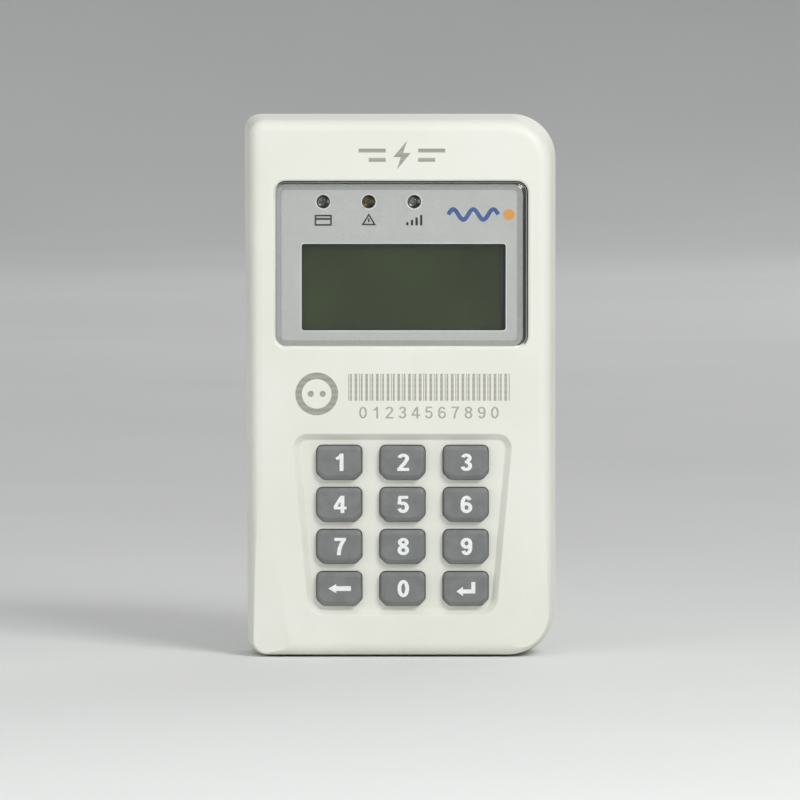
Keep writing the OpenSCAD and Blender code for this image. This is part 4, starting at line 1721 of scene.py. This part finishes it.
def digit_shapes(digit: int, wide: float, stretch: float = 1.0) -> list[list[Loop]]:
    """Draws a plain digit that stands from 0 to 1, with pen strokes of even width.

    Args:
        digit: The digit.
        wide: Width of the strokes, as a share of the height.
        stretch: Factor for the digit's width.

    Returns:
        The outlines of its strokes.
    """
    h = wide / 2
    side, top, foot = 0.27 - h, 1 - h, h
    ring = {"wide": wide, "closed": True}
    six = [stroke(arc(0, 0.315, side, 0.315 - h, 0, 348.75, 31), **ring),
           stroke([(-side, 0.32)] + arc(0, 0.58, side, 0.42 - h, 180, 32), wide)]
    shapes = {
        0: [stroke(arc(0, 0.5, side, 0.5 - h, 0, 348.75, 31), **ring)],
        1: [stroke([(0.07, 0), (0.07, 1)], wide),
            stroke([(-0.19, 0.7), (-0.1, 0.735), (-0.02, 0.8), (0.05, 0.91)], wide * 0.92)],
        2: [stroke(arc(0, 0.725, side, 0.275 - h, 170, -32)
                   + [(0.04, 0.42), (-0.09, 0.26), (-0.185, 0.08)], wide),
            stroke([(-0.28, foot), (0.27, foot)], wide)],
        3: [stroke(arc(-0.01, 0.745, side - 0.02, 0.255 - h, 165, -80), wide),
            stroke(arc(-0.01, 0.29, side, 0.29 - h, 82, -168), wide),
            stroke([(-0.08, 0.525), (0.05, 0.525)], wide * 0.85)],
        4: [stroke([(0.11, 0), (0.11, 1)], wide),
            stroke([(0.06, 0.93), (-0.235, 0.33)], wide * 0.9),
            stroke([(-0.29, 0.29), (0.3, 0.29)], wide * 0.88)],
        5: [stroke([(-0.2, top), (0.23, top)], wide * 0.95),
            stroke([(-0.15, 0.96), (-0.19, 0.5)], wide * 0.9),
            stroke(arc(-0.01, 0.33, side, 0.33 - h, 132, -165), wide)],
        6: six,
        7: [stroke([(-0.27, top), (0.27, top)], wide),
            stroke([(0.2, 0.93), (0.06, 0.66), (-0.03, 0.34), (-0.065, 0)], wide)],
        8: [stroke(arc(0, 0.745, side - 0.02, 0.255 - h, 0, 348.75, 31), **ring),
            stroke(arc(0, 0.29, side, 0.29 - h, 0, 348.75, 31), **ring)],
        9: [[[(-x, 1 - z) for x, z in loop] for loop in part] for part in six],
    }
    return [[[(x * stretch, z) for x, z in loop] for loop in part] for part in shapes[digit]]


def digit_row(text: str, centre: Sequence[float], tall: float, pitch: float,
              ink: float) -> Blank:
    """Makes a row of thin digits on the front of the case.

    Args:
        text: The digits.
        centre: The middle of the row's foot as (x, depth, z), in mm.
        tall: Height of the digits in mm.
        pitch: Distance between two digits.
        ink: Thickness of the ink.

    Returns:
        The digits.
    """
    left = centre[0] - pitch * (len(text) - 1) / 2
    return joined([inked(digit_shapes(int(digit), 0.13, 1.2),
                         (left + pitch * i, centre[1], centre[2]), ink, tall)
                   for i, digit in enumerate(text)])


@dataclass
class CaseScrews:
    """Four screws with rounded heads, a cross recess and a thread."""

    head_r: float = 2.75
    head_tall: float = 2.0
    shank_r: float = 1.4
    pitch: float = 0.9
    groove: float = 0.22
    slot: float = 0.34
    slot_deep: float = 0.9

    def build(self) -> None:
        """Models one screw, copies it to each place and hands them over."""
        low, high = mm_box("case_screws")
        places = screw_places("case_screws", self.head_r)
        x, z = places[0]
        screw = self.screw(x, z, low.y, high.y)
        copies = [screw.copy().shift(x=to_x - x, z=to_z - z) for to_x, to_z in places[1:]]
        hand_over(screw.join(*copies), "case_screws_threaded", ZINC, CASE,
                  ["case_screws"], 30)

    def screw(self, x: float, z: float, tip: float, top: float) -> Blank:
        """Models one screw along the depth.

        Args:
            x: Its place along X in mm.
            z: Its height.
            tip: Depth of its tip.
            top: Depth of its head's top.

        Returns:
            The screw.
        """
        under = top - self.head_tall
        dome = 0.7
        head = Blank.rod((x, under, z), (x, top - dome, z), self.head_r, 40).back()
        head.walk(Profile().turn(dome, 90, 0, 6))
        turns = int((under - tip) / self.pitch)
        shank = Blank.rod((x, under + 0.01, z), (x, under - 0.1, z), self.shank_r, 24).front()
        thread = Profile()
        for _ in range(turns - 1):
            thread.run(self.groove, self.pitch * 0.5).run(-self.groove, self.pitch * 0.5)
        shank.walk(thread.run(self.groove, 0.2).run(0.9, under - tip - thread.rise - 0.1))
        arms = [(1.5, self.slot), (self.slot, 1.5)]
        head.join(shank)
        return head.cut(*[Blank.block((x - a, top - self.slot_deep, z - b), (x + a, top + 1, z + b))
                          for a, b in arms])


@dataclass
class Battery:
    """Three cells with sleeves, and the springs."""

    names = ("battery_left", "battery_middle", "battery_right")
    nub_r: float = 2.7
    nub_tall: float = 1.0
    sleeve: float = 0.08
    sleeve_gap: float = 0.7
    wire_r: float = 0.35
    turns: float = 4.0

    def build(self) -> None:
        """Models one cell and one spring, and copies them to the other places."""
        low, high = mm_box("battery_left")
        x, depth = (low.x + high.x) / 2, (low.y + high.y) / 2
        can, sleeve = self.can(x, depth, low, high), self.sleeve_tube(x, depth, low, high)
        for name in self.names:
            low, high = mm_box(name)
            along, middle = (low.x + high.x) / 2 - x, (low.z + high.z) / 2
            pair = [can.copy().shift(x=along), sleeve.copy().shift(x=along)]
            turned = name == "battery_middle"
            if turned:
                pair = [piece.turn_over(x + along, depth, middle) for piece in pair]
            hand_over(pair[0], name + "_can", ZINC, CASE, [name])
            hand_over(pair[1], name + "_sleeve", CELL_DOWN if turned else CELL, CASE)
        for blank in (can, sleeve):
            bpy.data.objects.remove(blank.obj)
        self.springs(x, depth)

    def can(self, x: float, depth: float, low: Vector, high: Vector) -> Blank:
        """Models a cell's steel can, with its nub at the upper end.

        Args:
            x: The cell's axis along X in mm.
            depth: Its axis's depth.
            low: Lowest corner of its box.
            high: Highest corner.

        Returns:
            The can.
        """
        edge = 0.45
        radius, top = (high.x - low.x) / 2 - self.sleeve, high.z - self.nub_tall
        can = Blank.rod((x, depth, low.z + edge), (x, depth, top - edge), radius, 64)
        can.pick_faces(lambda c, n: n.z > 0.99)
        can.walk(Profile().turn(edge, 90, 0, 5).run(radius - edge - self.nub_r, 0)
                 .run(0, self.nub_tall - 0.25).turn(0.25, 90, 0, 4))
        can.pick_faces(lambda c, n: n.z < -0.99)
        return can.walk(Profile().turn(edge, 90, 0, 5).run(0.5, -0.1).run(1.2, 0).run(0.3, 0.1))

    def sleeve_tube(self, x: float, depth: float, low: Vector, high: Vector) -> Blank:
        """Models the shrink sleeve round a cell's can, open at both ends.

        Args:
            x: The cell's axis along X in mm.
            depth: Its axis's depth.
            low: Lowest corner of its box.
            high: Highest corner.

        Returns:
            The sleeve.
        """
        radius = (high.x - low.x) / 2
        start, end = low.z + self.sleeve_gap, high.z - self.nub_tall - self.sleeve_gap
        tube = Blank.rod((x, depth, start), (x, depth, end), radius, 64)
        return tube.cut(Blank.rod((x, depth, start - 1), (x, depth, end + 1),
                                  radius - self.sleeve + 0.01, 64))

    def springs(self, x: float, depth: float) -> None:
        """Hands over the three coil springs: two below the cells and one above, turned over.

        Args:
            x: The left cell's axis along X in mm.
            depth: The axes' depth.
        """
        low, high = mm_box("battery_springs")
        base, top = mm_box("battery_left")[0].z, mm_box("battery_middle")[1].z
        left = self.spring(x, depth, low.z, base)
        right = left.copy().shift(x=-2 * x)
        upper = left.copy().turn_over(x, depth, base)
        upper.scale(1, 1, (high.z - top) / (base - low.z), place(x, depth, base))
        upper.shift(x=-x, z=top - base)
        hand_over(left.join(right, upper), "battery_springs_wound", NICKEL, CASE,
                  ["battery_springs"], 60)

    def spring(self, x: float, depth: float, low: float, high: float) -> Blank:
        """Winds one spring of round wire between two heights.

        Args:
            x: Its axis along X in mm.
            depth: Its axis's depth.
            low: Its lower end.
            high: Its upper end.

        Returns:
            The spring.
        """
        start = low + self.wire_r
        axis = place(x, depth, 0)
        clear_selection()
        bpy.ops.mesh.primitive_circle_add(vertices=10, radius=self.wire_r * MM, fill_type="NGON",
                                          location=place(x + 3.2, depth, start),
                                          rotation=(math.pi / 2, 0, 0))
        wire = Blank(bpy.context.object)
        steps = int(self.turns * 20)
        rise = (high - low - 2 * self.wire_r) / steps
        turn = 2 * math.pi / 20
        wire.edit("FACE")
        bpy.ops.mesh.select_all(action="SELECT")
        for _ in range(steps):
            bpy.ops.mesh.spin(steps=1, angle=turn, center=axis, axis=(0, 0, 1), dupli=False)
            wire.shift(z=rise)
        bpy.ops.mesh.select_all(action="SELECT")
        bpy.ops.mesh.normals_make_consistent(inside=False)
        return wire


@dataclass
class CaseMarks:
    """Laser marks on the case: two plain signs, a row of bars and a row of digits."""

    ink: float = 0.02
    bar_count: int = 46
    flash_at: tuple[float, float] = (0.5, 130.5)
    outlet_at: tuple[float, float] = (-21.6, 68.6)
    bars_from: tuple[float, float] = (-13.4, 66.8)
    bars_to: tuple[float, float] = (28.7, 73.8)
    digits_at: tuple[float, float] = (7.5, 62.2)
    digit_tall: float = 3.1
    digit_pitch: float = 3.42

    def build(self) -> None:
        """Makes every mark."""
        self.flash_sign(*self.flash_at)
        self.outlet_sign(*self.outlet_at)
        self.bars(self.bars_from[0], self.bars_to[0], self.bars_from[1], self.bars_to[1])
        x, z = self.digits_at
        row = digit_row("01234567890", (x, 0, z), self.digit_tall, self.digit_pitch, self.ink)
        hand_over(row, "mark_digits", LASER, CASE)

    def flash_sign(self, x: float, z: float) -> None:
        """Makes the upper sign: a plain flash between two lines.

        Args:
            x: Its centre along X in mm.
            z: Its height.
        """
        flash = [(1.3, 3.7), (-2.3, -0.5), (-0.3, -0.5), (-1.3, -3.7), (2.3, 0.6), (0.3, 0.6)]
        lines = [stroke([(side * 4.2, level), (side * reach, level)], 1.0)
                 for side in (-1, 1) for level, reach in ((1.2, 11.2), (-1.2, 8.6))]
        mark = inked([[flash], *lines], (x, 0, z), self.ink)
        hand_over(mark, "mark_flash", LASER_DARK, CASE)

    def outlet_sign(self, x: float, z: float) -> None:
        """Makes the lower sign: a round outlet with two pins.

        Args:
            x: Its centre along X in mm.
            z: Its height.
        """
        ring = stroke(arc(0, 0, 4.7, 4.7, 0, 354, 59), 1.7, closed=True)
        pins = [[arc(side * 1.55, 0, 0.8, 0.8, 0, 345, 23)] for side in (-1, 1)]
        mark = inked([ring, *pins], (x, 0, z), self.ink)
        hand_over(mark, "mark_outlet", LASER_DARK, CASE)

    def bars(self, left: float, right: float, low: float, high: float) -> None:
        """Makes a row of upright bars whose widths repeat by a simple rule.

        Args:
            left: Left end in mm.
            right: Right end.
            low: Lower edge.
            high: Upper edge.
        """
        units = [(1 + (7 * i) % 3, 1 + (5 * i) % 3) for i in range(self.bar_count)]
        unit = (right - left) / sum(bar + gap for bar, gap in units)
        made = []
        x = left
        for bar, gap in units:
            made.append(Blank.block((x, -self.ink, low), (x + bar * unit, 0.01, high)))
            x += (bar + gap) * unit
        hand_over(joined(made), "mark_bars", LASER, CASE)


@dataclass
class Studio:
    """The floor with its raised edge, the lights and the camera."""

    distance: float = 2.2
    elevation: float = 3.0
    frame_tall: float = 208.8
    centre_z: float = 66.3
    sensor: float = 36.0
    flat_r: float = 3.0
    sweep_r: float = 1.6
    wall_tall: float = 1.0

    def build(self) -> None:
        """Sets up the studio."""
        self.floor()
        self.camera()
        middle = (0, 0, self.centre_z * MM)
        self.light("key", (0.5, -0.8, 0.72), middle, 0.42, 6.7)
        self.light("fill", (-0.85, -0.75, 0.2), middle, 0.9, 3.2)
        self.light("top", (0.0, -0.35, 0.95), middle, 0.6, 0.7)
        self.light("back", (0.9, 2.3, 1.3), (0, 0.9, 0), 1.8, 10)
        world = bpy.data.worlds.new("studio_air")
        world.use_nodes = True
        air = world.node_tree.nodes["Background"].inputs
        air["Color"].default_value = linear("F1F2F4")
        air["Strength"].default_value = 0.45
        bpy.context.scene.world = world
        bpy.context.scene.view_settings.view_transform = "Standard"

    def floor(self) -> None:
        """Lays a round floor whose edge sweeps up into a low wall all round."""
        clear_selection()
        bpy.ops.mesh.primitive_circle_add(vertices=96, radius=self.flat_r, fill_type="NGON")
        dish = Blank(bpy.context.object)
        dish.obj.name = "studio_floor"
        dish.pick_edges(lambda c, d: True)
        steps, was_r, was_z = 24, self.flat_r, 0.0
        for i in range(1, steps + 1):
            angle = math.pi / 2 * i / steps
            radius = self.flat_r + self.sweep_r * math.sin(angle)
            height = self.sweep_r * (1 - math.cos(angle))
            rise = {"value": (0, 0, height - was_z)}
            bpy.ops.mesh.extrude_region_move(TRANSFORM_OT_translate=rise)
            bpy.ops.transform.resize(value=(radius / was_r, radius / was_r, 1),
                                     center_override=(0, 0, 0))
            was_r, was_z = radius, height
        bpy.ops.mesh.extrude_region_move(TRANSFORM_OT_translate={"value": (0, 0, self.wall_tall)})
        dish.only()
        bpy.ops.object.shade_smooth()
        dish.obj.data.materials.append(FLOOR.material())

    def light(self, name: str, where: Sequence[float], target: Sequence[float], size: float,
              power: float) -> None:
        """Hangs a square soft light.

        Args:
            name: Its name.
            where: Its place in metres.
            target: The point that it looks at.
            size: Its side in metres.
            power: Its power in watts.
        """
        clear_selection()
        bpy.ops.object.light_add(type="AREA", location=where)
        lamp = bpy.context.object
        lamp.name = "studio_" + name
        lamp.data.shape = "SQUARE"
        lamp.data.size = size
        lamp.data.energy = power
        aim = Vector(target) - Vector(where)
        lamp.rotation_euler = aim.to_track_quat("-Z", "Y").to_euler()

    def camera(self) -> None:
        """Sets the camera in front of the object, slightly above it, with a long lens."""
        tilt = math.radians(self.elevation)
        away = Vector((0, -math.cos(tilt), math.sin(tilt))) * self.distance
        clear_selection()
        bpy.ops.object.camera_add(location=Vector((0, 0, self.centre_z * MM)) + away)
        camera = bpy.context.object
        camera.name = "studio_camera"
        camera.rotation_euler = (-away).to_track_quat("-Z", "Y").to_euler()
        camera.data.sensor_width = self.sensor
        camera.data.lens = self.sensor * self.distance / (self.frame_tall * MM)
        camera.data.clip_start = 0.01
        bpy.context.scene.camera = camera


CARRIED_OVER = {
    "window_print": SILVER,
    "window_glue": GLUE,
    "display_gasket": FOAM,
    "display_glass": LCD,
    "display_frame": BLACK_PLASTIC,
    "display_diffuser": DIFFUSER,
    "contact_strip_upper": CONTACT,
    "contact_strip_lower": CONTACT,
    "keypad_mat": SILICONE,
    "main_board": BOARD,
    "controller_chip": CHIP,
    "clock_crystal": TINNED,
    "storage_capacitor": CAPACITOR,
    "radio_module": TINNED,
    "antenna_wire": COPPER,
    "buzzer": BLACK_PLASTIC,
    "battery_plates": NICKEL,
    "board_screws": ZINC,
}


def dress_cad_nodes() -> None:
    """Gives the CAD nodes that stay in view their finishes."""
    finishes = dict(CARRIED_OVER)
    finishes |= {"contact_pill_" + name: CARBON for name in KEY_NAMES}
    for name, finish in finishes.items():
        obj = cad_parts[name]
        obj.data.materials.clear()
        obj.data.materials.append(finish.material())
        log.info("%s keeps its CAD shape", name)


def main() -> None:
    """Builds every sub-assembly and the studio."""
    logging.basicConfig(level=logging.INFO, format="%(name)s: %(message)s")
    form = CaseForm()
    FrontCover(form).build()
    RearCover(form).build()
    BatteryDoor().build()
    Window().build()
    LampRow().build()
    Keypad().build()
    CaseScrews().build()
    Battery().build()
    CaseMarks().build()
    dress_cad_nodes()
    Studio().build()


if __name__ == "__main__":
    main()
